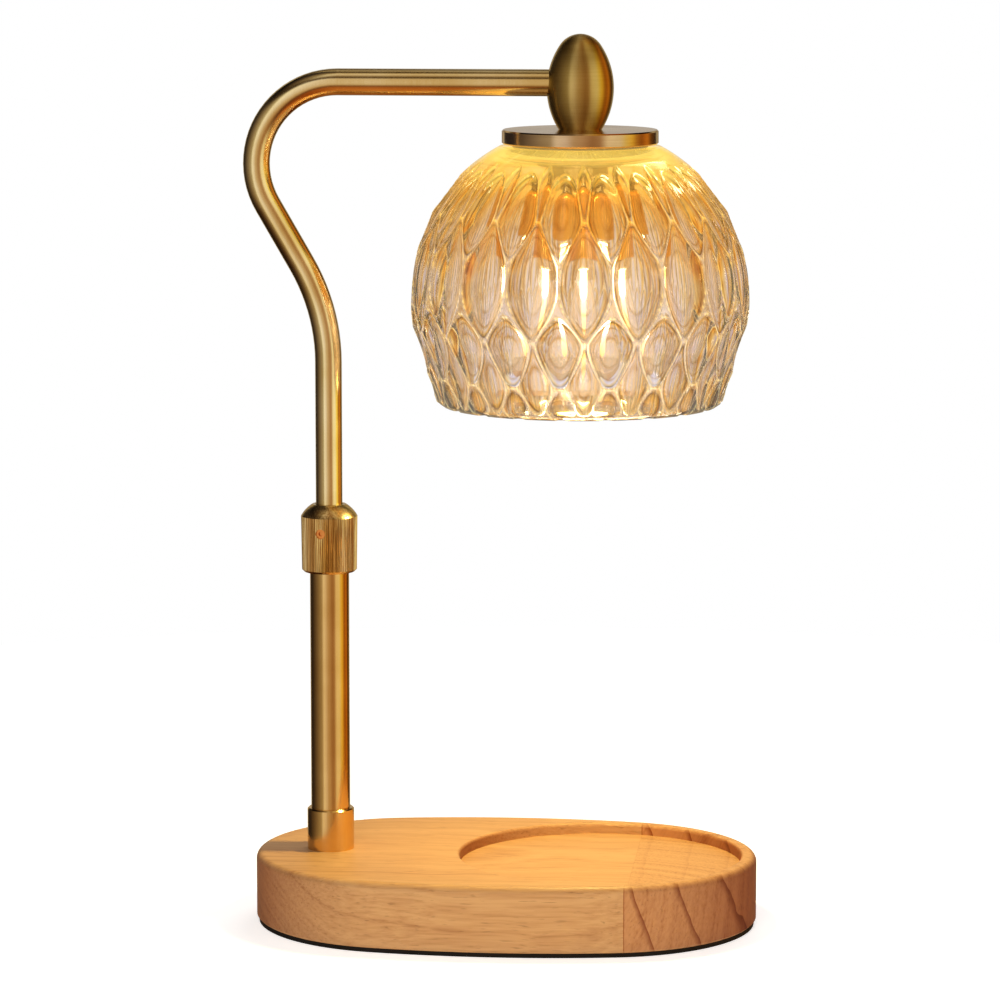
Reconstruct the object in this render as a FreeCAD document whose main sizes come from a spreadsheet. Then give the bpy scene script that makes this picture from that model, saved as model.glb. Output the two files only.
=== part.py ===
import FreeCAD, Part
import math
import os
import Sketcher

from FreeCAD import Placement, Rotation, Vector

# Candle warmer lamp: a warm bulb hangs under a pressed-glass shade, over a round seat for a
# candle jar in a wooden base. The shade's swan-neck arm slides and swivels in the post, and a
# knurled collar locks it.
#
# Frame: +Z up, +X from the post towards the candle seat, origin at the centre of the underside.

OUT_DIR = "parts"

DRIVING_SIZES = {
    # wooden base, a four-centre oval
    "block_length": 180.0,
    "block_side_bulge": 3.0,
    "block_height": 23.5,
    "block_top_round": 2.5,
    "block_foot_bevel": 0.8,
    "pad_thickness": 1.6,
    "pad_inset": 0.8,
    "seat_radius": 50.5,
    "seat_wall": 5.5,
    "seat_depth": 4.0,
    "seat_lip_round": 1.2,
    "pocket_radius": 15.0,
    "pocket_depth": 12.0,
    "channel_width": 9.0,
    "channel_depth": 10.4,
    # cord outlet in the rear edge
    "outlet_spacing": 23.5,
    "outlet_height": 8.4,
    "outlet_radius": 4.0,
    "outlet_length": 12.0,
    "cord_bore_radius": 2.75,
    "outlet_flange_radius": 5.6,
    "outlet_flange_thickness": 1.5,
    "outlet_seat_depth": 1.0,
    # post
    "post_inset": 26.5,
    "post_radius": 7.0,
    "post_wall": 1.0,
    "post_length": 109.0,
    "ferrule_radius": 8.4,
    "ferrule_height": 15.0,
    "ferrule_bevel": 0.5,
    "plug_height": 10.0,
    "nipple_radius": 5.0,
    "nipple_bore_radius": 3.25,
    "nipple_end": 2.0,
    "stud_clearance": 0.3,
    "washer_radius": 11.0,
    "washer_thickness": 1.5,
    "lock_washer_radius": 8.6,
    "lock_washer_gap": 1.6,
    "nut_across_flats": 17.0,
    "nut_thickness": 5.0,
    # clamp that locks the arm in the post
    "head_radius": 8.2,
    "head_overlap": 7.5,
    "head_height": 16.8,
    "head_bore_radius": 6.2,
    "groove_depth": 0.8,
    "collar_radius": 10.1,
    "collar_foot_radius": 9.8,
    "collar_height": 24.3,
    "collar_skirt": 0.4,
    "collar_dome_height": 4.3,
    "collar_dome_radius": 11.5,
    "collar_foot_bevel": 0.8,
    "cone_mouth_radius": 7.5,
    "cone_height": 3.8,
    "knurl_count": 84,
    "knurl_depth": 0.3,
    "knurl_half_width": 0.28,
    "collet_sleeve": 6.0,
    "collet_flange": 1.0,
    "collet_slot_width": 0.8,
    "collet_slot_count": 4,
    "lock_lift": 0.5,
    "screw_height": 14.6,
    "screw_azimuth": 12.0,
    "screw_radius": 1.75,
    "screw_recess": 0.6,
    "screw_tip_radius": 0.8,
    "screw_socket_radius": 0.85,
    "screw_socket_depth": 0.7,
    # swan-neck arm
    "arm_radius": 4.75,
    "arm_wall": 1.0,
    "arm_height": 300.8,
    "arm_reach": 89.6,
    "arm_lean": 30.0,
    "arm_lean_length": 24.1,
    "arm_sweep_radius": 70.0,
    "arm_bend_radius": 29.0,
    "arm_tail_height": 88.5,
    "arm_socket_depth": 5.7,
    "bush_height": 14.0,
    "bush_offset": 4.0,
    "clip_thickness": 1.2,
    "clip_radius": 5.6,
    "end_nipple_bore_radius": 2.4,
    "end_nipple_length": 12.0,
    # egg-shaped hub at the arm's end
    "egg_length": 38.0,
    "egg_end_radius": 8.6,
    "egg_side_bulge": 3.2,
    "egg_drop": 1.8,
    "egg_foot": 14.5,
    "hub_cavity_height": 23.0,
    "hub_nipple_depth": 9.0,
    # cap disc and glass shade
    "cap_radius": 27.6,
    "cap_thickness": 5.0,
    "cap_bevel": 0.5,
    "gasket_radius": 24.0,
    "gasket_thickness": 0.8,
    "shade_radius": 60.0,
    "shade_top_radius": 28.5,
    "shade_skirt_taper": 18.9,
    "shade_height": 91.4,
    "shade_wall": 4.6,
    "shade_top_thickness": 5.0,
    "shade_hole_radius": 7.0,
    "shade_rim_bevel": 1.2,
    "grommet_radius": 15.0,
    "grommet_flange": 1.0,
    "clamp_washer_radius": 14.0,
    "clamp_washer_thickness": 1.2,
    # lampholder cup
    "cup_radius": 19.5,
    "cup_wall": 0.8,
    "cup_height": 23.0,
    "cup_shoulder_round": 3.0,
    "cup_nut_thickness": 3.4,
    "bracket_width": 14.0,
    "bracket_thickness": 1.0,
    "bracket_leg": 14.0,
    "holder_length": 30.0,
    "holder_end_radius": 8.0,
    "holder_side_bulge": 0.5,
    "holder_height": 13.0,
    "holder_gap": 1.0,
    "holder_plate": 2.4,
    "holder_screw_radius": 1.5,
    "holder_screw_head_radius": 2.6,
    "holder_screw_head": 1.5,
    "holder_screw_length": 6.0,
    "holder_screw_height": 8.5,
    "contact_radius": 1.8,
    "contact_thickness": 0.5,
    # twist-lock reflector bulb
    "pin_spacing": 10.0,
    "pin_neck_radius": 1.25,
    "pin_head_radius": 2.3,
    "pin_head_length": 2.6,
    "twist_angle": 35.0,
    "bulb_base_radius": 12.5,
    "bulb_base_height": 14.0,
    "bulb_socket_depth": 5.0,
    "bulb_length": 50.0,
    "bulb_radius": 25.0,
    "bulb_neck_radius": 9.5,
    "bulb_wall": 1.4,
    "bulb_bowl_round": 13.0,
    "bulb_bowl_taper": 27.6,
    "bulb_lip": 3.0,
    "bulb_cover_thickness": 2.0,
    "capsule_radius": 4.6,
    "capsule_length": 17.0,
    # clearances
    "running_fit": 0.05,
    "thread_fit": 0.1,
    "loose_fit": 0.25,
    "body_gap": 0.3,
}

DOC = FreeCAD.newDocument("CandleWarmerLamp")
SHEET = DOC.addObject("Spreadsheet::Sheet", "Dims")


class Size:
    """A length that knows its value now and the expression that keeps it up to date."""

    def __init__(self, value, text):
        self.value = value
        self.text = text

    @staticmethod
    def of(item):
        return item if isinstance(item, Size) else Size(float(item), repr(item))

    def combine(self, sign, other, result):
        return Size(result, f"({self.text} {sign} {other.text})")

    def __add__(self, item):
        other = Size.of(item)
        return self.combine("+", other, self.value + other.value)

    def __sub__(self, item):
        other = Size.of(item)
        return self.combine("-", other, self.value - other.value)

    def __mul__(self, item):
        other = Size.of(item)
        return self.combine("*", other, self.value * other.value)

    def __truediv__(self, item):
        other = Size.of(item)
        return self.combine("/", other, self.value / other.value)

    def __radd__(self, item):
        return Size.of(item) + self

    def __rsub__(self, item):
        return Size.of(item) - self

    def __rmul__(self, item):
        return Size.of(item) * self

    def __neg__(self):
        return Size(-self.value, f"(-1 * {self.text})")


def root(size):
    """Square root of a size."""
    return Size(math.sqrt(size.value), f"sqrt({size.text})")


def sine(angle):
    """Sine of an angle in degrees."""
    return Size(math.sin(math.radians(angle.value)), f"sin({angle.text})")


def cosine(angle):
    """Cosine of an angle in degrees."""
    return Size(math.cos(math.radians(angle.value)), f"cos({angle.text})")


class Driving:
    """The driving sizes as attributes, each tied to its cell."""

    def __init__(self, table):
        for row, (alias, value) in enumerate(table.items(), start=1):
            SHEET.set(f"A{row}", alias)
            SHEET.set(f"B{row}", str(value))
            SHEET.setAlias(f"B{row}", alias)
            setattr(self, alias, Size(value, f"Dims.{alias}"))


ZERO = Size(0.0, "0")
UP = Vector(0, 0, 1)
ALONG_X = Vector(1, 0, 0)
PIN_COUNT = 2
s = Driving(DRIVING_SIZES)
DOC.recompute()

# ---------------------------------------------------------------- heights and places shared
BLOCK_END_RADIUS = s.seat_radius + s.seat_wall
SEAT_X = s.block_length / 2 - BLOCK_END_RADIUS
POST_X = s.post_inset - s.block_length / 2
SHADE_X = POST_X + s.arm_reach
OUTLET_X = POST_X + s.outlet_spacing
BASE_TOP = s.pad_thickness + s.block_height
POST_TOP = BASE_TOP + s.post_length
HEAD_FOOT = POST_TOP - s.head_overlap
HEAD_TOP = HEAD_FOOT + s.head_height
COLLAR_FOOT = HEAD_FOOT - s.collar_skirt
COLLAR_BORE = s.head_radius + s.thread_fit
NUT_CEILING = s.pad_thickness + s.pocket_depth
WASHER_FOOT = NUT_CEILING - s.washer_thickness
LOCK_WASHER_FOOT = WASHER_FOOT - s.washer_thickness
NUT_FOOT = LOCK_WASHER_FOOT - s.nut_thickness
NIPPLE_FOOT = NUT_FOOT - s.nipple_end
COLLET_FLANGE_FOOT = HEAD_TOP + s.body_gap / 2
COLLET_BORE = s.arm_radius + s.running_fit
BUSH_FOOT = s.arm_tail_height + s.bush_offset
CAP_TOP = s.arm_height - s.egg_drop - s.egg_foot
CAP_FOOT = CAP_TOP - s.cap_thickness
SHADE_TOP = CAP_FOOT - s.gasket_thickness
CROWN_FOOT = SHADE_TOP - s.shade_top_thickness
GROMMET_FOOT = CROWN_FOOT - s.grommet_flange
CLAMP_WASHER_FOOT = GROMMET_FOOT - s.clamp_washer_thickness
CLAMP_NUT_FOOT = CLAMP_WASHER_FOOT - s.nut_thickness
CUP_CEILING = CLAMP_NUT_FOOT - s.cup_wall
BRACKET_FOOT = CUP_CEILING - s.bracket_thickness
CUP_NUT_FOOT = BRACKET_FOOT - s.cup_nut_thickness
HOLDER_TOP = CUP_NUT_FOOT - s.holder_gap
HOLDER_FACE = HOLDER_TOP - s.holder_height
BULB_TOP = HOLDER_FACE - s.body_gap


# ---------------------------------------------------------------- drawing helpers
class ArcTo:
    """The way from one corner to the next along an arc.

    turn is 1 to bend left and -1 to bend right. The arc has a radius, or a centre at a given
    height in the sketch, which makes it upright where it crosses that height.
    """

    def __init__(self, turn, radius=None, level=None):
        self.turn = turn
        self.radius = radius
        self.level = level

    def centre(self, here, there):
        if self.level is not None:
            level = self.level.value
            rise = (there.y - level) ** 2 - (here.y - level) ** 2
            middle = (there.x**2 - here.x**2 + rise) / (2 * (there.x - here.x))
            return Vector(middle, level, 0)
        chord = there - here
        sagging = math.sqrt(max(self.radius.value**2 - (chord.Length / 2) ** 2, 0.0))
        left = Vector(-chord.y, chord.x, 0).normalize()
        return (here + there) * 0.5 + left * (sagging * self.turn)


def new_body(label, x=ZERO, y=ZERO, z=ZERO, rotation=None):
    """An empty body whose place is tied to the sheet."""
    body = DOC.addObject("PartDesign::Body", label)
    body.Label = label
    place(body, x, y, z, rotation)
    return body


def place(item, x=ZERO, y=ZERO, z=ZERO, rotation=None):
    """Puts an object at a place that follows the sheet."""
    start = Vector(x.value, y.value, z.value)
    item.Placement = Placement(start, rotation or Rotation())
    for axis, size in (("x", x), ("y", y), ("z", z)):
        if size is not ZERO:
            item.setExpression(f"Placement.Base.{axis}", size.text)


def new_sketch(body, role, offset=None):
    """A sketch on one of the body's own origin planes, moved along its normal by offset."""
    sketch = body.newObject("Sketcher::SketchObject", body.Label + "_sketch")
    support = [plane for plane in body.Origin.OriginFeatures if plane.Role == role]
    sketch.AttachmentSupport = [(support[0], "")]
    sketch.MapMode = "FlatFace"
    if offset is not None:
        sketch.setExpression("AttachmentOffset.Base.z", offset.text)
    return sketch


def bind(sketch, kind, items, size):
    """Adds a measured constraint that follows the sheet."""
    index = sketch.addConstraint(Sketcher.Constraint(kind, *items, size.value))
    sketch.setExpression(f"Constraints[{index}]", size.text)


def pin_point(sketch, geometry, vertex, x, y):
    """Holds a vertex at x, y from the sketch's origin."""
    for kind, axis, size in (("DistanceX", -2, x), ("DistanceY", -1, y)):
        if size is ZERO:
            sketch.addConstraint(Sketcher.Constraint("PointOnObject", geometry, vertex, axis))
        else:
            bind(sketch, kind, (-1, 1, geometry, vertex), size)


def draw(sketch, corners, closed=True):
    """Draws lines and arcs through corners, each (x, y) or (x, y, ArcTo for the way on)."""
    count = len(corners)
    spans = count if closed else count - 1
    points = [Vector(corner[0].value, corner[1].value, 0) for corner in corners]
    ends = []
    for index in range(spans):
        here, there = points[index], points[(index + 1) % count]
        way = corners[index][2] if len(corners[index]) > 2 else None
        if way is None:
            geometry = sketch.addGeometry(Part.LineSegment(here, there), False)
            ends.append((geometry, 1, 2))
            continue
        centre = way.centre(here, there)
        circle = Part.Circle(centre, Vector(0, 0, 1), (here - centre).Length)
        first, last = (here, there) if way.turn > 0 else (there, here)
        start_angle = math.atan2(first.y - centre.y, first.x - centre.x)
        end_angle = math.atan2(last.y - centre.y, last.x - centre.x)
        if end_angle < start_angle:
            end_angle += 2 * math.pi
        arc = Part.ArcOfCircle(circle, start_angle, end_angle)
        geometry = sketch.addGeometry(arc, False)
        ends.append((geometry, 1, 2) if way.turn > 0 else (geometry, 2, 1))
    for index, (geometry, start, end) in enumerate(ends):
        pin_point(sketch, geometry, start, corners[index][0], corners[index][1])
        if closed or index + 1 < spans:
            follower = ends[(index + 1) % spans]
            join = Sketcher.Constraint("Coincident", geometry, end, follower[0], follower[1])
            sketch.addConstraint(join)
        else:
            pin_point(sketch, geometry, end, corners[-1][0], corners[-1][1])
    for index, (geometry, start, end) in enumerate(ends):
        way = corners[index][2] if len(corners[index]) > 2 else None
        if way is not None and way.level is not None:
            bind(sketch, "DistanceY", (-1, 1, geometry, 3), way.level)
        elif way is not None:
            bind(sketch, "Radius", (geometry,), way.radius)


def draw_circle(sketch, x, y, radius):
    """Draws one circle."""
    centre = Vector(x.value, y.value, 0)
    circle = Part.Circle(centre, Vector(0, 0, 1), radius.value)
    geometry = sketch.addGeometry(circle, False)
    pin_point(sketch, geometry, 3, x, y)
    bind(sketch, "Radius", (geometry,), radius)


def pad(body, sketch, length):
    """Raises a sketch along its normal."""
    feature = body.newObject("PartDesign::Pad", body.Label + "_pad")
    feature.Profile = sketch
    feature.setExpression("Length", length.text)
    sketch.Visibility = False
    return feature


def pocket(body, sketch, depth=None, upward=False):
    """Cuts a sketch into the body against its normal, or along it when upward."""
    DOC.recompute()
    before = body.Shape.Volume
    feature = body.newObject("PartDesign::Pocket", body.Label + "_pocket")
    feature.Profile = sketch
    feature.Reversed = upward
    if depth is None:
        feature.Type = "ThroughAll"
    else:
        feature.setExpression("Length", depth.text)
    DOC.recompute()
    if not body.Shape.Volume < before:
        raise RuntimeError(f"a pocket in {body.Label} cuts nothing")
    return feature


def revolve(body, sketch):
    """Turns a sketch about its own upright axis."""
    feature = body.newObject("PartDesign::Revolution", body.Label + "_turned")
    feature.Profile = sketch
    feature.ReferenceAxis = (sketch, ["V_Axis"])
    feature.Angle = 360.0
    return feature


def polar(body, features, count):
    """Repeats features about the body's upright axis."""
    pattern = body.newObject("PartDesign::PolarPattern", body.Label + "_round")
    pattern.Originals = features
    axis = [line for line in body.Origin.OriginFeatures if line.Role == "Z_Axis"]
    pattern.Axis = (axis[0], [""])
    pattern.Angle = 360.0
    pattern.setExpression("Occurrences", count.text)
    body.Tip = pattern
    DOC.recompute()
    return pattern


def soften(body, size, wanted, kind="Fillet"):
    """Rounds or bevels the edges of the body's tip that the test picks."""
    DOC.recompute()
    tip = body.Tip
    names = []
    for number, edge in enumerate(tip.Shape.Edges, start=1):
        if wanted(edge):
            names.append(f"Edge{number}")
    feature = body.newObject("PartDesign::" + kind, body.Label + "_soft")
    feature.Base = (tip, names)
    feature.setExpression("Radius" if kind == "Fillet" else "Size", size.text)
    return feature


def at_height(height):
    """A test for the edges that lie wholly at one height in their body."""
    level = height.value

    def wanted(edge):
        box = edge.BoundBox
        return abs(box.ZMin - level) < 1e-4 and abs(box.ZMax - level) < 1e-4

    return wanted


def ring_edge(height, radius):
    """A test for the round edge of a given radius at one height."""

    def wanted(edge):
        return at_height(height)(edge) and abs(edge.BoundBox.XMax - radius.value) < 1e-3

    return wanted


def turned(label, x, z, corners):
    """A body turned about its own upright axis from a half section."""
    body = new_body(label, x=x, z=z)
    section = new_sketch(body, "XZ_Plane")
    draw(section, corners)
    revolve(body, section)
    return body


def ring(label, x, z, inner, outer, height):
    """A plain ring that stands on z."""
    corners = [(inner, ZERO), (outer, ZERO), (outer, height), (inner, height)]
    return turned(label, x, z, corners)


def hex_nut(label, x, z, thickness):
    """A hexagonal nut on the lamp's hollow thread."""
    prism = DOC.addObject("Part::Prism", label + "_blank")
    prism.Polygon = 6
    prism.setExpression("Circumradius", (s.nut_across_flats / math.sqrt(3)).text)
    prism.setExpression("Height", thickness.text)
    bore = DOC.addObject("Part::Cylinder", label + "_bore")
    bore.setExpression("Radius", s.nipple_radius.text)
    bore.setExpression("Height", thickness.text)
    nut = DOC.addObject("Part::Cut", label)
    nut.Base = prism
    nut.Tool = bore
    nut.Label = label
    place(nut, x, ZERO, z)
    return nut


def rod(label, radius, length, x=ZERO, y=ZERO, z=ZERO, rotation=None):
    """A plain cylinder used as one piece of a group."""
    item = DOC.addObject("Part::Cylinder", label)
    item.setExpression("Radius", radius.text)
    item.setExpression("Height", length.text)
    place(item, x, y, z, rotation)
    return item


def group(label, items, x=ZERO, z=ZERO):
    """Several primitives as one sub-part."""
    fused = DOC.addObject("Part::MultiFuse", label)
    fused.Shapes = items
    fused.Label = label
    place(fused, x, ZERO, z)
    return fused


def oval_side_radius(length, end_radius, bulge):
    """Radius of the long arcs of a four-centre oval, which its short arcs meet smoothly.

    The bulge is how far the long arcs stand out past the short arcs' width.
    """
    centre = length / 2 - end_radius
    return (centre * centre / bulge + 2 * end_radius + bulge) / 2


def oval_joint(length, end_radius, bulge):
    """Where a short arc of the oval meets a long one, from the oval's centre."""
    side_radius = oval_side_radius(length, end_radius, bulge)
    half_width = end_radius + bulge
    reach = side_radius - end_radius
    along = side_radius * (length / 2 - end_radius) / reach
    across = side_radius * (side_radius - half_width) / reach - (side_radius - half_width)
    return along, across


def oval(length, end_radius, bulge):
    """Corners of a four-centre oval about the origin, long along x."""
    along, across = oval_joint(length, end_radius, bulge)
    ends = ArcTo(1, radius=end_radius)
    sides = ArcTo(1, radius=oval_side_radius(length, end_radius, bulge))
    return [
        (along, -across, ends),
        (along, across, sides),
        (-along, across, ends),
        (-along, -across, sides),
    ]


# ---------------------------------------------------------------- base
def base_block():
    """Wooden block with the candle seat, the stud hole and the hollow for nut and cord."""
    body = new_body("base_block", z=s.pad_thickness)
    plan = new_sketch(body, "XY_Plane")
    draw(plan, oval(s.block_length, BLOCK_END_RADIUS, s.block_side_bulge))
    pad(body, plan, s.block_height)
    soften(body, s.block_top_round, at_height(s.block_height))
    soften(body, s.block_foot_bevel, at_height(ZERO), "Chamfer")

    seat = new_sketch(body, "XY_Plane", s.block_height)
    draw_circle(seat, SEAT_X, ZERO, s.seat_radius)
    pocket(body, seat, s.seat_depth)
    soften(body, s.seat_lip_round, ring_edge(s.block_height, SEAT_X + s.seat_radius))

    stud_hole = new_sketch(body, "XY_Plane")
    draw_circle(stud_hole, POST_X, ZERO, s.nipple_radius + s.stud_clearance)
    pocket(body, stud_hole, upward=True)
    nut_pocket = new_sketch(body, "XY_Plane")
    draw_circle(nut_pocket, POST_X, ZERO, s.pocket_radius)
    pocket(body, nut_pocket, s.pocket_depth, upward=True)

    channel_end = OUTLET_X + s.channel_width / 2
    half = s.channel_width / 2
    channel = new_sketch(body, "XY_Plane")
    draw(channel, [(POST_X, -half), (channel_end, -half), (channel_end, half), (POST_X, half)])
    pocket(body, channel, s.channel_depth, upward=True)

    outlet = new_sketch(body, "XZ_Plane")
    draw_circle(outlet, OUTLET_X, s.outlet_height, s.outlet_radius)
    pocket(body, outlet)
    flange_seat = new_sketch(body, "XZ_Plane", -outlet_seat_y())
    draw_circle(flange_seat, OUTLET_X, s.outlet_height, seat_bore_radius())
    pocket(body, flange_seat)
    return body


def outlet_seat_y():
    """Depth across the block of the flat seat behind the cord outlet's flange."""
    side = oval_side_radius(s.block_length, BLOCK_END_RADIUS, s.block_side_bulge)
    rise = root(side * side - OUTLET_X * OUTLET_X)
    edge = rise - (side - BLOCK_END_RADIUS - s.block_side_bulge)
    return edge - s.outlet_seat_depth


def seat_bore_radius():
    """Radius of the spot face that the outlet's flange sits in."""
    return s.outlet_flange_radius + s.loose_fit


def base_pad():
    """Soft sheet glued under the block, which closes the nut pocket and the channel."""
    body = new_body("base_pad")
    plan = new_sketch(body, "XY_Plane")
    length = s.block_length - 2 * s.pad_inset
    draw(plan, oval(length, BLOCK_END_RADIUS - s.pad_inset, s.block_side_bulge))
    pad(body, plan, s.pad_thickness)
    return body


def cord_outlet():
    """Flanged bush in the rear edge that the cord leaves through."""
    turn = Rotation(ALONG_X, -90)
    height = s.pad_thickness + s.outlet_height
    body = new_body("cord_outlet", OUTLET_X, outlet_seat_y(), height, turn)
    section = new_sketch(body, "XZ_Plane")
    draw(
        section,
        [
            (s.cord_bore_radius, -s.outlet_length),
            (s.outlet_radius, -s.outlet_length),
            (s.outlet_radius, ZERO),
            (s.outlet_flange_radius, ZERO),
            (s.outlet_flange_radius, s.outlet_flange_thickness),
            (s.cord_bore_radius, s.outlet_flange_thickness),
        ],
    )
    revolve(body, section)
    return body


# ---------------------------------------------------------------- post
def post_tube():
    """Tube that stands on the block and takes the arm."""
    inner = s.post_radius - s.post_wall
    return ring("post_tube", POST_X, BASE_TOP, inner, s.post_radius, s.post_length)


def post_ferrule():
    """Collar round the foot of the post."""
    body = ring("post_ferrule", POST_X, BASE_TOP, s.post_radius, s.ferrule_radius, s.ferrule_height)
    soften(body, s.ferrule_bevel, ring_edge(s.ferrule_height, s.ferrule_radius), "Chamfer")
    return body


def post_plug():
    """Threaded plug fixed in the foot of the tube."""
    outer = s.post_radius - s.post_wall
    return ring("post_plug", POST_X, BASE_TOP, s.nipple_radius, outer, s.plug_height)


def post_nipple():
    """Hollow thread from the plug down through the block."""
    length = BASE_TOP + s.plug_height - NIPPLE_FOOT
    inner = s.nipple_bore_radius
    return ring("post_nipple", POST_X, NIPPLE_FOOT, inner, s.nipple_radius, length)


def post_washer():
    """Flat washer against the wood."""
    inner = s.nipple_radius + s.loose_fit
    thickness = s.washer_thickness
    return ring("post_washer", POST_X, WASHER_FOOT, inner, s.washer_radius, thickness)


def spring_washer():
    """Split washer between nut and flat washer."""
    inner = s.nipple_radius + s.loose_fit
    outer = s.lock_washer_radius
    body = ring("spring_washer", POST_X, LOCK_WASHER_FOOT, inner, outer, s.washer_thickness)
    half = s.lock_washer_gap / 2
    gap = new_sketch(body, "XY_Plane")
    far = outer + s.loose_fit
    draw(gap, [(inner - s.loose_fit, -half), (far, -half), (far, half), (inner - s.loose_fit, half)])
    pocket(body, gap, upward=True)
    return body


# ---------------------------------------------------------------- arm clamp
def post_head():
    """Threaded ring on the post's top end, with the groove that keeps the collar on."""
    screw = COLLAR_FOOT - HEAD_FOOT + s.screw_height
    groove_low = screw - s.screw_tip_radius - s.body_gap
    groove_high = screw + s.screw_tip_radius + s.body_gap + s.lock_lift
    groove_radius = s.head_radius - s.groove_depth
    return turned(
        "post_head",
        POST_X,
        HEAD_FOOT,
        [
            (s.post_radius, ZERO),
            (s.head_radius, ZERO),
            (s.head_radius, groove_low),
            (groove_radius, groove_low),
            (groove_radius, groove_high),
            (s.head_radius, groove_high),
            (s.head_radius, s.head_height),
            (s.head_bore_radius, s.head_height),
            (s.head_bore_radius, s.head_overlap),
            (s.post_radius, s.head_overlap),
        ],
    )


def arm_collet():
    """Split cone that the collar squeezes on the arm."""
    gap = s.body_gap / 2
    sleeve_radius = s.head_bore_radius - gap
    cone_foot = s.cone_mouth_radius - s.body_gap
    tip_radius = COLLET_BORE + s.loose_fit + gap
    flange_top = s.collet_sleeve + s.collet_flange
    top = flange_top + s.cone_height - 2 * s.body_gap
    body = turned(
        "arm_collet",
        POST_X,
        COLLET_FLANGE_FOOT - s.collet_sleeve,
        [
            (COLLET_BORE, ZERO),
            (sleeve_radius, ZERO),
            (sleeve_radius, s.collet_sleeve),
            (cone_foot, s.collet_sleeve),
            (cone_foot, flange_top),
            (tip_radius, top),
            (COLLET_BORE, top),
        ],
    )
    half = s.collet_slot_width / 2
    near = s.arm_radius / 2
    far = s.cone_mouth_radius
    slot = new_sketch(body, "XY_Plane", s.collet_sleeve / 2)
    draw(slot, [(near, -half), (far, -half), (far, half), (near, half)])
    polar(body, [pocket(body, slot, upward=True)], s.collet_slot_count)
    return body


def lock_collar():
    """Knurled collar with a domed crown; it turns on the post head's thread."""
    shoulder = s.collar_height - s.collar_dome_height
    dome_centre = shoulder - ball_radius(s.collar_dome_radius, s.collar_radius)
    bore_ceiling = HEAD_TOP + s.body_gap - COLLAR_FOOT
    cone_foot = bore_ceiling + s.collet_flange
    crown = s.arm_radius + s.loose_fit
    body = turned(
        "lock_collar",
        POST_X,
        COLLAR_FOOT,
        [
            (COLLAR_BORE, ZERO),
            (s.collar_foot_radius, ZERO),
            (s.collar_radius, shoulder, ArcTo(1, level=dome_centre)),
            (ball_radius(s.collar_dome_radius, s.collar_height - dome_centre), s.collar_height),
            (crown, s.collar_height),
            (crown, cone_foot + s.cone_height),
            (s.cone_mouth_radius, cone_foot),
            (s.cone_mouth_radius, bore_ceiling),
            (COLLAR_BORE, bore_ceiling),
        ],
    )
    body.Placement.Rotation = Rotation(UP, -s.screw_azimuth.value)
    soften(body, s.collar_foot_bevel, ring_edge(ZERO, s.collar_foot_radius), "Chamfer")
    cut_knurl(body, shoulder)
    hole = new_sketch(body, "XZ_Plane")
    draw_circle(hole, ZERO, s.screw_height, s.screw_radius)
    pocket(body, hole, upward=True)
    return body


def cut_knurl(body, shoulder):
    """Fine grooves round the collar, which lean out with its taper and run out at the dome."""
    root_radius = s.collar_foot_radius - s.knurl_depth
    tip_radius = s.collar_foot_radius + s.knurl_depth
    half = s.knurl_half_width * 2
    groove = new_sketch(body, "XY_Plane", s.collar_foot_bevel)
    draw(groove, [(root_radius, ZERO), (tip_radius, half), (tip_radius, -half)])
    cut = pocket(body, groove, shoulder - s.collar_foot_bevel, upward=True)
    cut.UseCustomVector = True
    cut.AlongSketchNormal = True
    cut.setExpression("Direction.x", ((s.collar_foot_radius - s.collar_radius) / shoulder).text)
    cut.Direction.z = -1
    polar(body, [cut], s.knurl_count)


def keeper_screw():
    """Headless screw in the collar; its tip runs in the post head's groove."""
    outward = Rotation(UP, -s.screw_azimuth.value).multiply(Rotation(ALONG_X, 90))
    body = new_body("keeper_screw", x=POST_X, z=COLLAR_FOOT + s.screw_height, rotation=outward)
    face = s.collar_foot_radius - s.screw_recess
    shank = COLLAR_BORE + s.thread_fit
    tip = s.head_radius - s.groove_depth + s.body_gap
    section = new_sketch(body, "XZ_Plane")
    draw(
        section,
        [
            (ZERO, tip),
            (s.screw_tip_radius, tip),
            (s.screw_tip_radius, shank),
            (s.screw_radius, shank),
            (s.screw_radius, face),
            (s.screw_socket_radius, face),
            (s.screw_socket_radius, face - s.screw_socket_depth),
            (ZERO, face - s.screw_socket_depth),
        ],
    )
    revolve(body, section)
    return body


# ---------------------------------------------------------------- arm
def guide_bush():
    """Plain bush that slides in the post and carries the foot of the arm."""
    inner = s.arm_radius + s.running_fit
    outer = s.post_radius - s.post_wall - s.running_fit
    return ring("guide_bush", POST_X, BUSH_FOOT, inner, outer, s.bush_height)


def bush_clips():
    """Retaining rings on the arm, one each side of the guide bush."""
    below = BUSH_FOOT - s.body_gap - s.clip_thickness
    above = BUSH_FOOT + s.bush_height + s.body_gap
    pieces = []
    for name, height in (("lower", below), ("upper", above)):
        disc = rod(f"clip_{name}_disc", s.clip_radius, s.clip_thickness, z=height)
        hole = rod(f"clip_{name}_hole", s.arm_radius, s.clip_thickness, z=height)
        clip = DOC.addObject("Part::Cut", f"clip_{name}")
        clip.Base = disc
        clip.Tool = hole
        pieces.append(clip)
    return group("bush_clips", pieces, x=POST_X)


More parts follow.
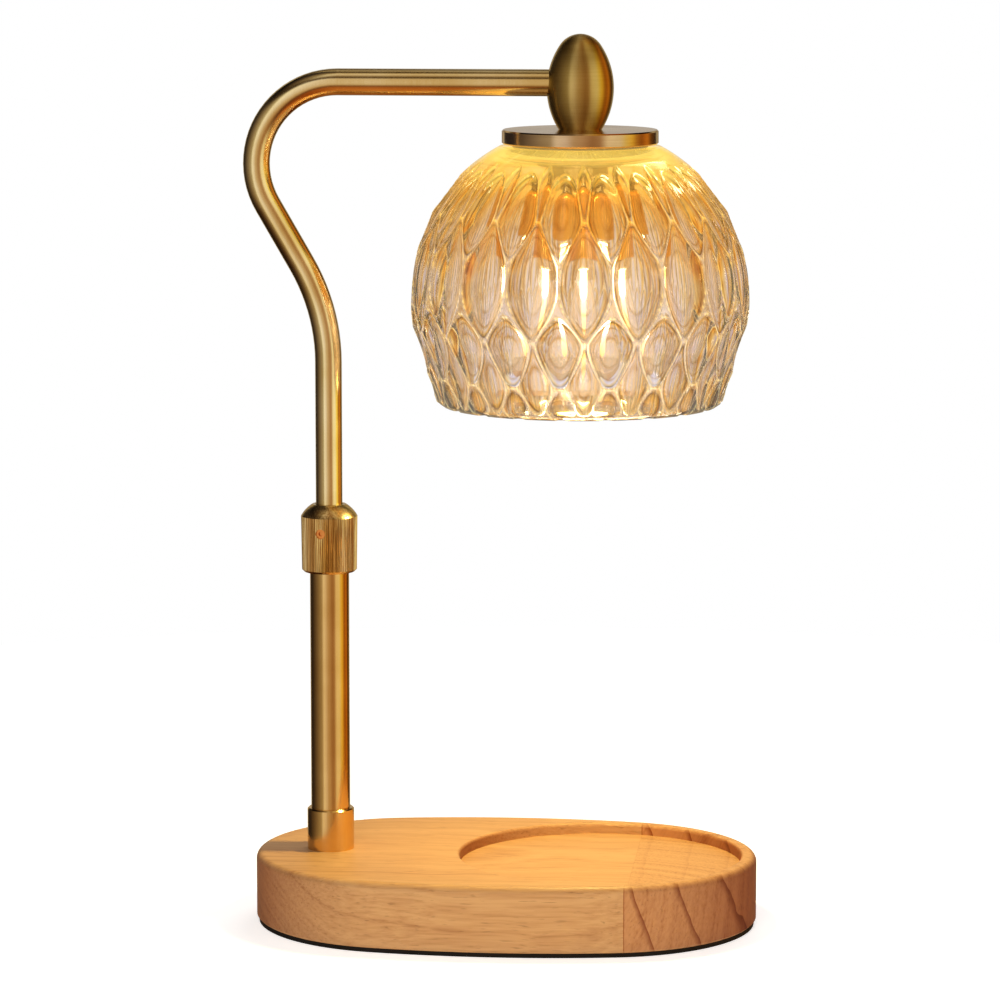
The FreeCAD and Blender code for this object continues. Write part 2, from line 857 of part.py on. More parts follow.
def arm_path():
    """Centre line of the swan neck from its tail, about the post's axis."""
    lean_out = sine(s.arm_lean)
    lean_up = cosine(s.arm_lean)
    bend, sweep, length = s.arm_bend_radius, s.arm_sweep_radius, s.arm_lean_length
    bend_z = s.arm_height - bend
    lean_top_z = bend_z - bend * lean_out
    lean_foot_z = lean_top_z - length * lean_up
    straight_z = lean_foot_z - sweep * lean_out
    lean_foot_x = sweep * lean_up - sweep
    lean_top_x = lean_foot_x - length * lean_out
    bend_x = lean_top_x + bend * lean_up
    return [
        (ZERO, s.arm_tail_height),
        (ZERO, straight_z, ArcTo(1, radius=sweep)),
        (lean_foot_x, lean_foot_z),
        (lean_top_x, lean_top_z, ArcTo(-1, radius=bend)),
        (bend_x, s.arm_height),
        (s.arm_reach - socket_floor(), s.arm_height),
    ]


def arm_tube():
    """Swan-neck tube from inside the post to the hub."""
    body = new_body("arm_tube", x=POST_X)
    for radius, kind in ((s.arm_radius, "Additive"), (s.arm_radius - s.arm_wall, "Subtractive")):
        route = new_sketch(body, "XZ_Plane")
        draw(route, arm_path(), closed=False)
        section = new_sketch(body, "XY_Plane", s.arm_tail_height)
        draw_circle(section, ZERO, ZERO, radius)
        pipe = body.newObject(f"PartDesign::{kind}Pipe", f"arm_{kind}")
        pipe.Profile = section
        pipe.Spine = route
    return body


# ---------------------------------------------------------------- hub, cap and shade
def egg_side_radius():
    """Radius of the egg's long side."""
    return oval_side_radius(s.egg_length, s.egg_end_radius, s.egg_side_bulge)


def egg_radius_at(height):
    """Radius of the egg at a height from its middle, on its long side."""
    side = egg_side_radius()
    return root(side * side - height * height) - (side - s.egg_end_radius - s.egg_side_bulge)


def socket_floor():
    """Distance from the hub's axis to the floor of the arm's socket."""
    return egg_radius_at(s.egg_drop) - s.arm_socket_depth


def egg_hub():
    """Egg-shaped hub that joins the arm to the shade."""
    body = new_body("egg_hub", x=SHADE_X, z=s.arm_height - s.egg_drop)
    along, across = oval_joint(s.egg_length, s.egg_end_radius, s.egg_side_bulge)
    section = new_sketch(body, "XZ_Plane")
    draw(
        section,
        [
            (ZERO, -s.egg_foot),
            (egg_radius_at(s.egg_foot), -s.egg_foot, ArcTo(1, radius=egg_side_radius())),
            (across, along, ArcTo(1, radius=s.egg_end_radius)),
            (ZERO, s.egg_length / 2),
        ],
    )
    revolve(body, section)
    cavity = new_sketch(body, "XY_Plane", -s.egg_foot)
    draw_circle(cavity, ZERO, ZERO, s.nipple_radius)
    pocket(body, cavity, s.hub_cavity_height, upward=True)
    socket = new_sketch(body, "YZ_Plane", -socket_floor())
    draw_circle(socket, ZERO, s.egg_drop, s.arm_radius)
    pocket(body, socket)
    passage = new_sketch(body, "YZ_Plane")
    draw_circle(passage, ZERO, s.egg_drop, s.arm_radius - s.arm_wall)
    pocket(body, passage)
    return body


def arm_end_nipple():
    """Hollow thread that holds the arm's end in the hub."""
    sideways = Rotation(Vector(0, 1, 0), 90)
    foot = SHADE_X - s.nipple_radius - s.end_nipple_length
    body = new_body("arm_end_nipple", x=foot, z=s.arm_height, rotation=sideways)
    inner, outer = s.end_nipple_bore_radius, s.arm_radius - s.arm_wall
    length = s.end_nipple_length
    section = new_sketch(body, "XZ_Plane")
    draw(section, [(inner, ZERO), (outer, ZERO), (outer, length), (inner, length)])
    revolve(body, section)
    return body


def head_nipple():
    """Hollow thread from the hub down through cap, shade and cup."""
    foot = CUP_NUT_FOOT - s.holder_gap / 2
    length = CAP_TOP + s.hub_nipple_depth - foot
    return ring("head_nipple", SHADE_X, foot, s.nipple_bore_radius, s.nipple_radius, length)


def cap_disc():
    """Flat disc over the shade."""
    inner = s.nipple_radius + s.thread_fit
    body = ring("cap_disc", SHADE_X, CAP_FOOT, inner, s.cap_radius, s.cap_thickness)
    for face in (ZERO, s.cap_thickness):
        soften(body, s.cap_bevel, ring_edge(face, s.cap_radius), "Chamfer")
    return body


def cap_gasket():
    """Soft ring between cap and glass."""
    inner = s.nipple_radius + s.thread_fit
    return ring("cap_gasket", SHADE_X, SHADE_TOP, inner, s.gasket_radius, s.gasket_thickness)


def glass_shade():
    """Thick pressed-glass bowl, open below, hung from a hole in its crown.

    The wall is a ball's down to below the waist and runs on into a cone towards the rim.
    """
    waist = -ball_radius(s.shade_radius, s.shade_top_radius)
    rim = -s.shade_height
    inner = s.shade_radius - s.shade_wall
    ceiling = -s.shade_top_thickness
    flat, dip = cosine(s.shade_skirt_taper), sine(s.shade_skirt_taper)
    rim_radius = (s.shade_radius - (waist - rim) * dip) / flat
    body = turned(
        "glass_shade",
        SHADE_X,
        SHADE_TOP,
        [
            (rim_radius, rim),
            (s.shade_radius * flat, waist - s.shade_radius * dip, ArcTo(1, level=waist)),
            (s.shade_top_radius, ZERO),
            (s.shade_hole_radius, ZERO),
            (s.shade_hole_radius, ceiling),
            (ball_radius(inner, ceiling - waist), ceiling, ArcTo(-1, level=waist)),
            (inner * flat, waist - inner * dip),
            (rim_radius - s.shade_wall / flat, rim),
        ],
    )
    soften(body, s.shade_rim_bevel, at_height(rim), "Chamfer")
    return body


def ball_radius(radius, height):
    """Radius of a ball's section at a height from its centre."""
    return root(radius * radius - height * height)


def shade_grommet():
    """Soft flanged ring that centres the glass on the thread."""
    inner = s.nipple_radius + s.thread_fit
    sleeve = s.shade_hole_radius - s.thread_fit
    top = s.grommet_flange + s.shade_top_thickness
    return turned(
        "shade_grommet",
        SHADE_X,
        GROMMET_FOOT,
        [
            (inner, ZERO),
            (s.grommet_radius, ZERO),
            (s.grommet_radius, s.grommet_flange),
            (sleeve, s.grommet_flange),
            (sleeve, top),
            (inner, top),
        ],
    )


def clamp_washer():
    """Washer that spreads the nut's load under the glass."""
    inner = s.nipple_radius + s.loose_fit
    outer, thickness = s.clamp_washer_radius, s.clamp_washer_thickness
    return ring("clamp_washer", SHADE_X, CLAMP_WASHER_FOOT, inner, outer, thickness)


# ---------------------------------------------------------------- lampholder
def socket_cup():
    """Spun cup round the lampholder."""
    outer, wall, bend = s.cup_radius, s.cup_wall, s.cup_shoulder_round
    hole = s.nipple_radius + s.thread_fit
    return turned(
        "socket_cup",
        SHADE_X,
        CLAMP_NUT_FOOT,
        [
            (outer, -s.cup_height),
            (outer, -bend, ArcTo(1, radius=bend)),
            (outer - bend, ZERO),
            (hole, ZERO),
            (hole, -wall),
            (outer - bend, -wall, ArcTo(-1, radius=bend - wall)),
            (outer - wall, -bend),
            (outer - wall, -s.cup_height),
        ],
    )


def lamp_bracket():
    """Bent strap that hangs the lampholder in the cup."""
    body = new_body("lamp_bracket", x=SHADE_X, z=CUP_CEILING)
    inner = s.holder_length / 2 + s.thread_fit
    outer = inner + s.bracket_thickness
    web = -s.bracket_thickness
    foot = -s.bracket_leg
    outline = new_sketch(body, "XZ_Plane")
    draw(
        outline,
        [
            (-outer, foot),
            (-inner, foot),
            (-inner, web),
            (inner, web),
            (inner, foot),
            (outer, foot),
            (outer, ZERO),
            (-outer, ZERO),
        ],
    )
    strap = pad(body, outline, s.bracket_width)
    strap.Midplane = True
    hole = new_sketch(body, "XY_Plane")
    draw_circle(hole, ZERO, ZERO, s.nipple_radius + s.thread_fit)
    pocket(body, hole)
    screw_height = s.holder_screw_height + HOLDER_FACE - CUP_CEILING
    screw_hole = new_sketch(body, "YZ_Plane", -outer)
    draw_circle(screw_hole, ZERO, screw_height, s.holder_screw_radius + s.thread_fit)
    pocket(body, screw_hole, 2 * outer, upward=True)
    return body


def ring_slot(sketch, half_width):
    """Draws the curved slot that a bulb pin travels along."""
    inner = s.pin_spacing / 2 - half_width
    outer = s.pin_spacing / 2 + half_width
    along, back = cosine(s.twist_angle), -sine(s.twist_angle)
    draw(
        sketch,
        [
            (outer * along, outer * back, ArcTo(1, radius=outer)),
            (outer, ZERO),
            (inner, ZERO, ArcTo(-1, radius=inner)),
            (inner * along, inner * back),
        ],
    )


def lampholder():
    """Ceramic twist-lock holder with two keyhole slots."""
    body = new_body("lampholder", x=SHADE_X, z=HOLDER_FACE)
    plan = new_sketch(body, "XY_Plane")
    draw(plan, oval(s.holder_length, s.holder_end_radius, s.holder_side_bulge))
    pad(body, plan, s.holder_height)
    narrow = s.pin_neck_radius + s.body_gap
    wide = s.pin_head_radius + s.body_gap
    pitch = s.pin_spacing / 2
    roof = pin_top() + s.body_gap + s.contact_thickness
    channel_depth = roof - s.holder_plate

    neck_slot = new_sketch(body, "XY_Plane")
    ring_slot(neck_slot, narrow)
    neck_rest = new_sketch(body, "XY_Plane")
    draw_circle(neck_rest, pitch, ZERO, narrow)
    entry = new_sketch(body, "XY_Plane")
    draw_circle(entry, pitch * cosine(s.twist_angle), -pitch * sine(s.twist_angle), wide)
    head_slot = new_sketch(body, "XY_Plane", s.holder_plate)
    ring_slot(head_slot, wide)
    head_rest = new_sketch(body, "XY_Plane", s.holder_plate)
    draw_circle(head_rest, pitch, ZERO, wide)
    cuts = [
        pocket(body, neck_slot, s.holder_plate, upward=True),
        pocket(body, neck_rest, s.holder_plate, upward=True),
        pocket(body, entry, roof, upward=True),
        pocket(body, head_slot, channel_depth, upward=True),
        pocket(body, head_rest, channel_depth, upward=True),
    ]
    polar(body, cuts, Size(PIN_COUNT, str(PIN_COUNT)))

    for side, forward in ((-1, True), (1, False)):
        start = side * s.holder_length / 2
        screw_hole = new_sketch(body, "YZ_Plane", start)
        draw_circle(screw_hole, ZERO, s.holder_screw_height, s.holder_screw_radius)
        pocket(body, screw_hole, s.holder_screw_length, upward=forward)
    return body


def pin_top():
    """Top of a bulb pin above the holder's face."""
    return s.holder_plate + s.body_gap + s.pin_head_length


def holder_screws():
    """Two screws through the strap's legs into the holder."""
    reach = s.holder_length / 2
    leg_face = reach + s.thread_fit + s.bracket_thickness
    shank = s.holder_screw_length + s.thread_fit + s.bracket_thickness
    pieces = []
    for side, name in ((-1, "left"), (1, "right")):
        turn = Rotation(Vector(0, 1, 0), 90 * side)
        start = side * (reach - s.holder_screw_length)
        pieces.append(rod(f"screw_{name}_shank", s.holder_screw_radius, shank, start, rotation=turn))
        head = side * leg_face
        radius, height = s.holder_screw_head_radius, s.holder_screw_head
        pieces.append(rod(f"screw_{name}_head", radius, height, head, rotation=turn))
    return group("holder_screws", pieces, x=SHADE_X, z=HOLDER_FACE + s.holder_screw_height)


def holder_contacts():
    """Two contact discs in the roof of the pin slots."""
    pieces = []
    for side, name in ((-1, "left"), (1, "right")):
        place_x = side * s.pin_spacing / 2
        pieces.append(rod(f"contact_{name}", s.contact_radius, s.contact_thickness, place_x))
    return group("holder_contacts", pieces, x=SHADE_X, z=HOLDER_FACE + pin_top() + s.body_gap)


# ---------------------------------------------------------------- bulb
def bulb_pins():
    """Two headed pins that lock in the holder."""
    neck = s.holder_plate + 2 * s.body_gap
    pieces = []
    for side, name in ((-1, "left"), (1, "right")):
        place_x = side * s.pin_spacing / 2
        pieces.append(rod(f"pin_{name}_neck", s.pin_neck_radius, neck, place_x))
        radius, length = s.pin_head_radius, s.pin_head_length
        pieces.append(rod(f"pin_{name}_head", radius, length, place_x, z=neck))
    return group("bulb_pins", pieces, x=SHADE_X, z=BULB_TOP)


def bulb_base():
    """Ceramic base with a socket for the reflector's neck."""
    ceiling = s.bulb_socket_depth - s.bulb_base_height
    return turned(
        "bulb_base",
        SHADE_X,
        BULB_TOP,
        [
            (ZERO, ceiling),
            (s.bulb_neck_radius, ceiling),
            (s.bulb_neck_radius, -s.bulb_base_height),
            (s.bulb_base_radius, -s.bulb_base_height),
            (s.bulb_base_radius, ZERO),
            (ZERO, ZERO),
        ],
    )


def bulb_reflector():
    """Flared glass reflector."""
    front = -s.bulb_length
    lip = front + s.bulb_lip
    neck_foot = -s.bulb_base_height
    neck_top = s.bulb_socket_depth - s.bulb_base_height
    inner_neck = s.bulb_neck_radius - s.bulb_wall
    inner_front = s.bulb_radius - s.bulb_wall
    round_out = s.bulb_bowl_round * cosine(s.bulb_bowl_taper)
    round_up = s.bulb_bowl_round * sine(s.bulb_bowl_taper)
    bend_radius = s.bulb_radius - s.bulb_bowl_round
    inner_part = (s.bulb_bowl_round - s.bulb_wall) / s.bulb_bowl_round
    return turned(
        "bulb_reflector",
        SHADE_X,
        BULB_TOP,
        [
            (s.bulb_radius, front),
            (s.bulb_radius, lip, ArcTo(1, level=lip)),
            (bend_radius + round_out, lip + round_up),
            (s.bulb_neck_radius, neck_foot),
            (s.bulb_neck_radius, neck_top),
            (inner_neck, neck_top),
            (inner_neck, neck_foot),
            (bend_radius + round_out * inner_part, lip + round_up * inner_part, ArcTo(-1, level=lip)),
            (inner_front, lip),
            (inner_front, front),
        ],
    )


def bulb_cover():
    """Clear disc in the reflector's mouth."""
    front = -s.bulb_length
    outer = s.bulb_radius - s.bulb_wall
    corners = [
        (ZERO, front),
        (outer, front),
        (outer, front + s.bulb_cover_thickness),
        (ZERO, front + s.bulb_cover_thickness),
    ]
    return turned("bulb_cover", SHADE_X, BULB_TOP, corners)


def bulb_capsule():
    """Small lamp capsule that hangs from the base inside the reflector."""
    top = s.bulb_socket_depth - s.bulb_base_height
    tip = top - s.capsule_length
    corners = [
        (ZERO, tip, ArcTo(1, radius=s.capsule_radius)),
        (s.capsule_radius, tip + s.capsule_radius),
        (s.capsule_radius, top),
        (ZERO, top),
    ]
    return turned("bulb_capsule", SHADE_X, BULB_TOP, corners)


SUB_PARTS = [
    base_block,
    base_pad,
    cord_outlet,
    post_tube,
    post_ferrule,
    post_plug,
    post_nipple,
    post_washer,
    spring_washer,
    lambda: hex_nut("post_nut", POST_X, NUT_FOOT, s.nut_thickness),
    post_head,
    arm_collet,
    lock_collar,
    keeper_screw,
    guide_bush,
    bush_clips,
    arm_tube,
    egg_hub,
    arm_end_nipple,
    head_nipple,
    cap_disc,
    cap_gasket,
    glass_shade,
    shade_grommet,
    clamp_washer,
    lambda: hex_nut("clamp_nut", SHADE_X, CLAMP_NUT_FOOT, s.nut_thickness),
    socket_cup,
    lambda: hex_nut("cup_nut", SHADE_X, CUP_NUT_FOOT, s.cup_nut_thickness),
    lamp_bracket,
    lampholder,
    holder_screws,
    holder_contacts,
    bulb_base,
    bulb_pins,
    bulb_capsule,
    bulb_reflector,
    bulb_cover,
]


def check(sub_parts):
    """Stops if any object failed or any sub-part has no sound shape."""
    DOC.recompute()
    for item in DOC.Objects:
        bad = {"Invalid", "Error"} & set(item.State)
        if bad:
            raise RuntimeError(f"{item.Name} in {item.Label}: {item.State}")
    for item in sub_parts:
        if item.Shape.isNull() or not item.Shape.isValid():
            raise RuntimeError(f"{item.Label} has no sound shape")


def main():
    """Builds every sub-part, checks them and writes one file for each."""
    sub_parts = [make() for make in SUB_PARTS]
    check(sub_parts)
    os.makedirs(OUT_DIR, exist_ok=True)
    for item in sub_parts:
        item.Shape.exportStep(os.path.join(OUT_DIR, item.Label + ".step"))
        solids = len(item.Shape.Solids)
        print(f"{item.Label}: {solids} solid(s), {item.Shape.Volume:.1f} mm3")


main()
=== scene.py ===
"""Candle warmer lamp: finishes, pressed glass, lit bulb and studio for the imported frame."""

import logging
import math
from dataclasses import dataclass, field
from enum import Enum
from typing import ClassVar, Iterable, Sequence

import bmesh
import bpy
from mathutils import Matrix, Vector


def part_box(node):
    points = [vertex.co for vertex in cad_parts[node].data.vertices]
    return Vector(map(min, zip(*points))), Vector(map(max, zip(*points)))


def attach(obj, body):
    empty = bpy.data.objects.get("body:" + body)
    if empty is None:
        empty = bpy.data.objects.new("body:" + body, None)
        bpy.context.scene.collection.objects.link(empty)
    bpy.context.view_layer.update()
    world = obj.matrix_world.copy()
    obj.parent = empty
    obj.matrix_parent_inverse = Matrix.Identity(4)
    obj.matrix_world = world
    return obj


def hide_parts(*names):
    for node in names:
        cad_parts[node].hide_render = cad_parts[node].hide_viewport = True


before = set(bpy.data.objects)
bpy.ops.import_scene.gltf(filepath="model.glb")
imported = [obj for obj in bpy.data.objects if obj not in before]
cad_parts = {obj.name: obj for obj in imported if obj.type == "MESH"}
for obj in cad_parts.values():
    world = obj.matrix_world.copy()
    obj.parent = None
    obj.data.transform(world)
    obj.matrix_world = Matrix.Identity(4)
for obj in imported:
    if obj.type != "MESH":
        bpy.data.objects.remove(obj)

LOG = logging.getLogger("candle_warmer")
MM = 0.001
MERGE_DISTANCE = 1e-7
Colour = tuple[float, float, float, float]
Stop = tuple[float, str]
Point = tuple[float, float]
Socket = bpy.types.NodeSocket
Tree = bpy.types.NodeTree
WHITE: Colour = (1.0, 1.0, 1.0, 1.0)


# ------------------------------------------------------------------ small helpers
def linear(hex_code: str) -> Colour:
    """Turns an sRGB hex value into a linear colour.

    Args:
        hex_code: Six hex digits after a hash, such as "#c48a55".

    Returns:
        Linear red, green, blue and an alpha of 1.
    """
    digits = hex_code.lstrip("#")
    channels = [int(digits[start : start + 2], 16) / 255 for start in (0, 2, 4)]
    red, green, blue = [
        level / 12.92 if level <= 0.04045 else ((level + 0.055) / 1.055) ** 2.4
        for level in channels
    ]
    return (red, green, blue, 1.0)


def per_metre(size_mm: float) -> float:
    """Texture scale at which one cell of a pattern is this many millimetres wide."""
    return 1.0 / (size_mm * MM)


def set_stops(ramp: bpy.types.ColorRamp, stops: Sequence[Stop]) -> None:
    """Fills a new colour ramp.

    Args:
        ramp: The ramp, which still has its first two stops.
        stops: Positions and sRGB hex values, in order, 32 at most.
    """
    elements = ramp.elements
    for element, (position, colour) in zip((elements[0], elements[-1]), (stops[0], stops[-1])):
        element.position = position
        element.color = linear(colour)
    for position, colour in stops[1:-1]:
        elements.new(position).color = linear(colour)


def add_node(
    tree: Tree,
    kind: str,
    settings: dict[str | int, object] | None = None,
    links: dict[str | int, Socket] | None = None,
) -> bpy.types.Node:
    """Adds a node with its settings and its incoming links.

    Args:
        tree: The node tree that takes the node.
        kind: The node's type name.
        settings: Attributes by name, a ramp's stops, or input values by socket name or number.
        links: Output sockets by the input that they feed.

    Returns:
        The new node.
    """
    node = tree.nodes.new(kind)
    for name, value in (settings or {}).items():
        if name == "stops":
            set_stops(node.color_ramp, value)
        elif isinstance(name, str) and hasattr(node, name):
            setattr(node, name, value)
        else:
            node.inputs[name].default_value = value
    for name, source in (links or {}).items():
        tree.links.new(source, node.inputs[name])
    return node


def new_material(name: str) -> tuple[bpy.types.Material, bpy.types.Node]:
    """Makes an empty node material.

    Args:
        name: The material's name.

    Returns:
        The material and its Principled shader.
    """
    material = bpy.data.materials.new(name)
    material.use_nodes = True
    return material, material.node_tree.nodes["Principled BSDF"]


def dress(piece: bpy.types.Object, material: bpy.types.Material) -> None:
    """Gives a piece one material on all its faces."""
    piece.data.materials.clear()
    piece.data.materials.append(material)


def piece_from(
    mesh: bmesh.types.BMesh, name: str, body: str, smooth_angle: float
) -> bpy.types.Object:
    """Turns a bmesh into a finished piece that rides on a body.

    Args:
        mesh: The mesh in metres, in the row frame. It is freed.
        name: The piece's name.
        body: The body that it moves with.
        smooth_angle: Edges sharper than this, in degrees, stay sharp.

    Returns:
        The new object.
    """
    data = bpy.data.meshes.new(name)
    for face in mesh.faces:
        face.smooth = True
    limit = math.radians(smooth_angle)
    for edge in mesh.edges:
        edge.smooth = len(edge.link_faces) == 2 and edge.calc_face_angle(0.0) < limit
    mesh.to_mesh(data)
    mesh.free()
    piece = bpy.data.objects.new(name, data)
    bpy.context.scene.collection.objects.link(piece)
    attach(piece, body)
    LOG.info("%s rides on %s with %d faces", name, body, len(data.polygons))
    return piece


def axis_of(low: Vector, high: Vector) -> Vector:
    """Point at floor level on the upright axis through the middle of a box."""
    return Vector(((low.x + high.x) / 2, (low.y + high.y) / 2, 0.0))


def spin_profile(
    mesh: bmesh.types.BMesh, outline: Sequence[Point], centre: Vector, steps: int
) -> None:
    """Turns an outline about an upright axis into a closed skin.

    Args:
        mesh: The bmesh that takes the skin.
        outline: Radius and height of each point, in millimetres above the floor.
        centre: A point on the axis.
        steps: Segments round the axis.
    """
    corners = [
        mesh.verts.new((centre.x + radius * MM, centre.y, height * MM))
        for radius, height in outline
    ]
    edges = [mesh.edges.new(pair) for pair in zip(corners, corners[1:])]
    bmesh.ops.spin(
        mesh,
        geom=corners + edges,
        cent=centre,
        axis=(0.0, 0.0, 1.0),
        angle=math.tau,
        steps=steps,
        use_merge=True,
        use_normal_flip=False,
        use_duplicate=False,
    )
    bmesh.ops.remove_doubles(mesh, verts=mesh.verts, dist=MERGE_DISTANCE)
    bmesh.ops.recalc_face_normals(mesh, faces=mesh.faces)


def ball_arc(radius: float, start: float, end: float, level: float, count: int) -> list[Point]:
    """Radius and height of points on a ball's half section, at angles in degrees from its waist."""
    turns = [math.radians(start + (end - start) * index / count) for index in range(count + 1)]
    return [(radius * math.cos(turn), level + radius * math.sin(turn)) for turn in turns]


# ------------------------------------------------------------------ finishes
class Lay(Enum):
    """Which way the fine lines of a worked metal surface run."""

    ROUND_Z = "round an upright axis"
    ALONG = "along an upright piece"


@dataclass(frozen=True)
class WorkedBrass:
    """Lacquered brass with fine lines from the brush, the lathe or the knurling wheel.

    The lines are far longer than they are wide. They shift tint and gloss a little, and a slow
    cloud stands for uneven lacquer. The lines are drawn coarser than real ones, so that they show.
    Where they weigh most, as on the knurled collar, their dark tone is painted shade in grooves.
    On a spun piece the grooves spread every reflection across them, into upright bands.
    """

    name: str
    colour: str
    shade: str
    roughness: float = 0.17
    line_mm: float = 0.35
    lay: Lay = Lay.ALONG
    line_share: float = 0.25
    spread: float = 0.0
    line_stretch: float = 0.02
    line_bump: float = 0.03
    line_depth_mm: float = 0.2
    smoother: float = 0.05
    rougher: float = 0.06
    cloud_mm: float = 22.22
    tint_range: tuple[float, float] = (0.38, 0.60)
    across_grooves: float = 0.25

    def build(self) -> bpy.types.Material:
        """Builds the material."""
        material, shader = new_material(self.name)
        tree = material.node_tree
        place = add_node(tree, "ShaderNodeTexCoord").outputs["Object"]
        lines = self.lines(tree, place)
        cloud = add_node(
            tree,
            "ShaderNodeTexNoise",
            {"Scale": per_metre(self.cloud_mm), "Detail": 3.0},
            {"Vector": place},
        )
        blend = add_node(
            tree,
            "ShaderNodeMix",
            {"data_type": "FLOAT", 0: self.line_share},
            {2: cloud.outputs["Fac"], 3: lines},
        )
        tint = add_node(
            tree,
            "ShaderNodeValToRGB",
            {"stops": ((self.tint_range[0], self.shade), (self.tint_range[1], self.colour))},
            {"Fac": blend.outputs[0]},
        ).outputs["Color"]
        worn = add_node(
            tree,
            "ShaderNodeMapRange",
            {"To Min": self.roughness - self.smoother, "To Max": self.roughness + self.rougher},
            {"Value": lines},
        )
        bump = add_node(
            tree,
            "ShaderNodeBump",
            {"Strength": self.line_bump, "Distance": self.line_depth_mm * MM},
            {"Height": lines},
        )
        tree.links.new(tint, shader.inputs["Base Color"])
        tree.links.new(worn.outputs["Result"], shader.inputs["Roughness"])
        tree.links.new(bump.outputs["Normal"], shader.inputs["Normal"])
        shader.inputs["Metallic"].default_value = 1.0
        if self.spread:
            grooves = add_node(tree, "ShaderNodeTangent", {"direction_type": "RADIAL", "axis": "Z"})
            tree.links.new(grooves.outputs["Tangent"], shader.inputs["Tangent"])
            shader.inputs["Anisotropic"].default_value = self.spread
            shader.inputs["Anisotropic Rotation"].default_value = self.across_grooves
        return material

    def lines(self, tree: Tree, place: Socket) -> Socket:
        """Noise drawn out along the lay.

        Args:
            tree: The node tree.
            place: Object coordinates.

        Returns:
            A tone from 0 to 1.
        """
        fine = per_metre(self.line_mm)
        long = fine * self.line_stretch
        stretches = {Lay.ROUND_Z: (long, long, fine), Lay.ALONG: (fine, fine, long)}
        drawn = add_node(
            tree, "ShaderNodeMapping", {"Scale": stretches[self.lay]}, {"Vector": place}
        )
        return add_node(
            tree,
            "ShaderNodeTexNoise",
            {"Scale": 1.0, "Detail": 3.0, "Roughness": 0.6},
            {"Vector": drawn.outputs["Vector"]},
        ).outputs["Fac"]


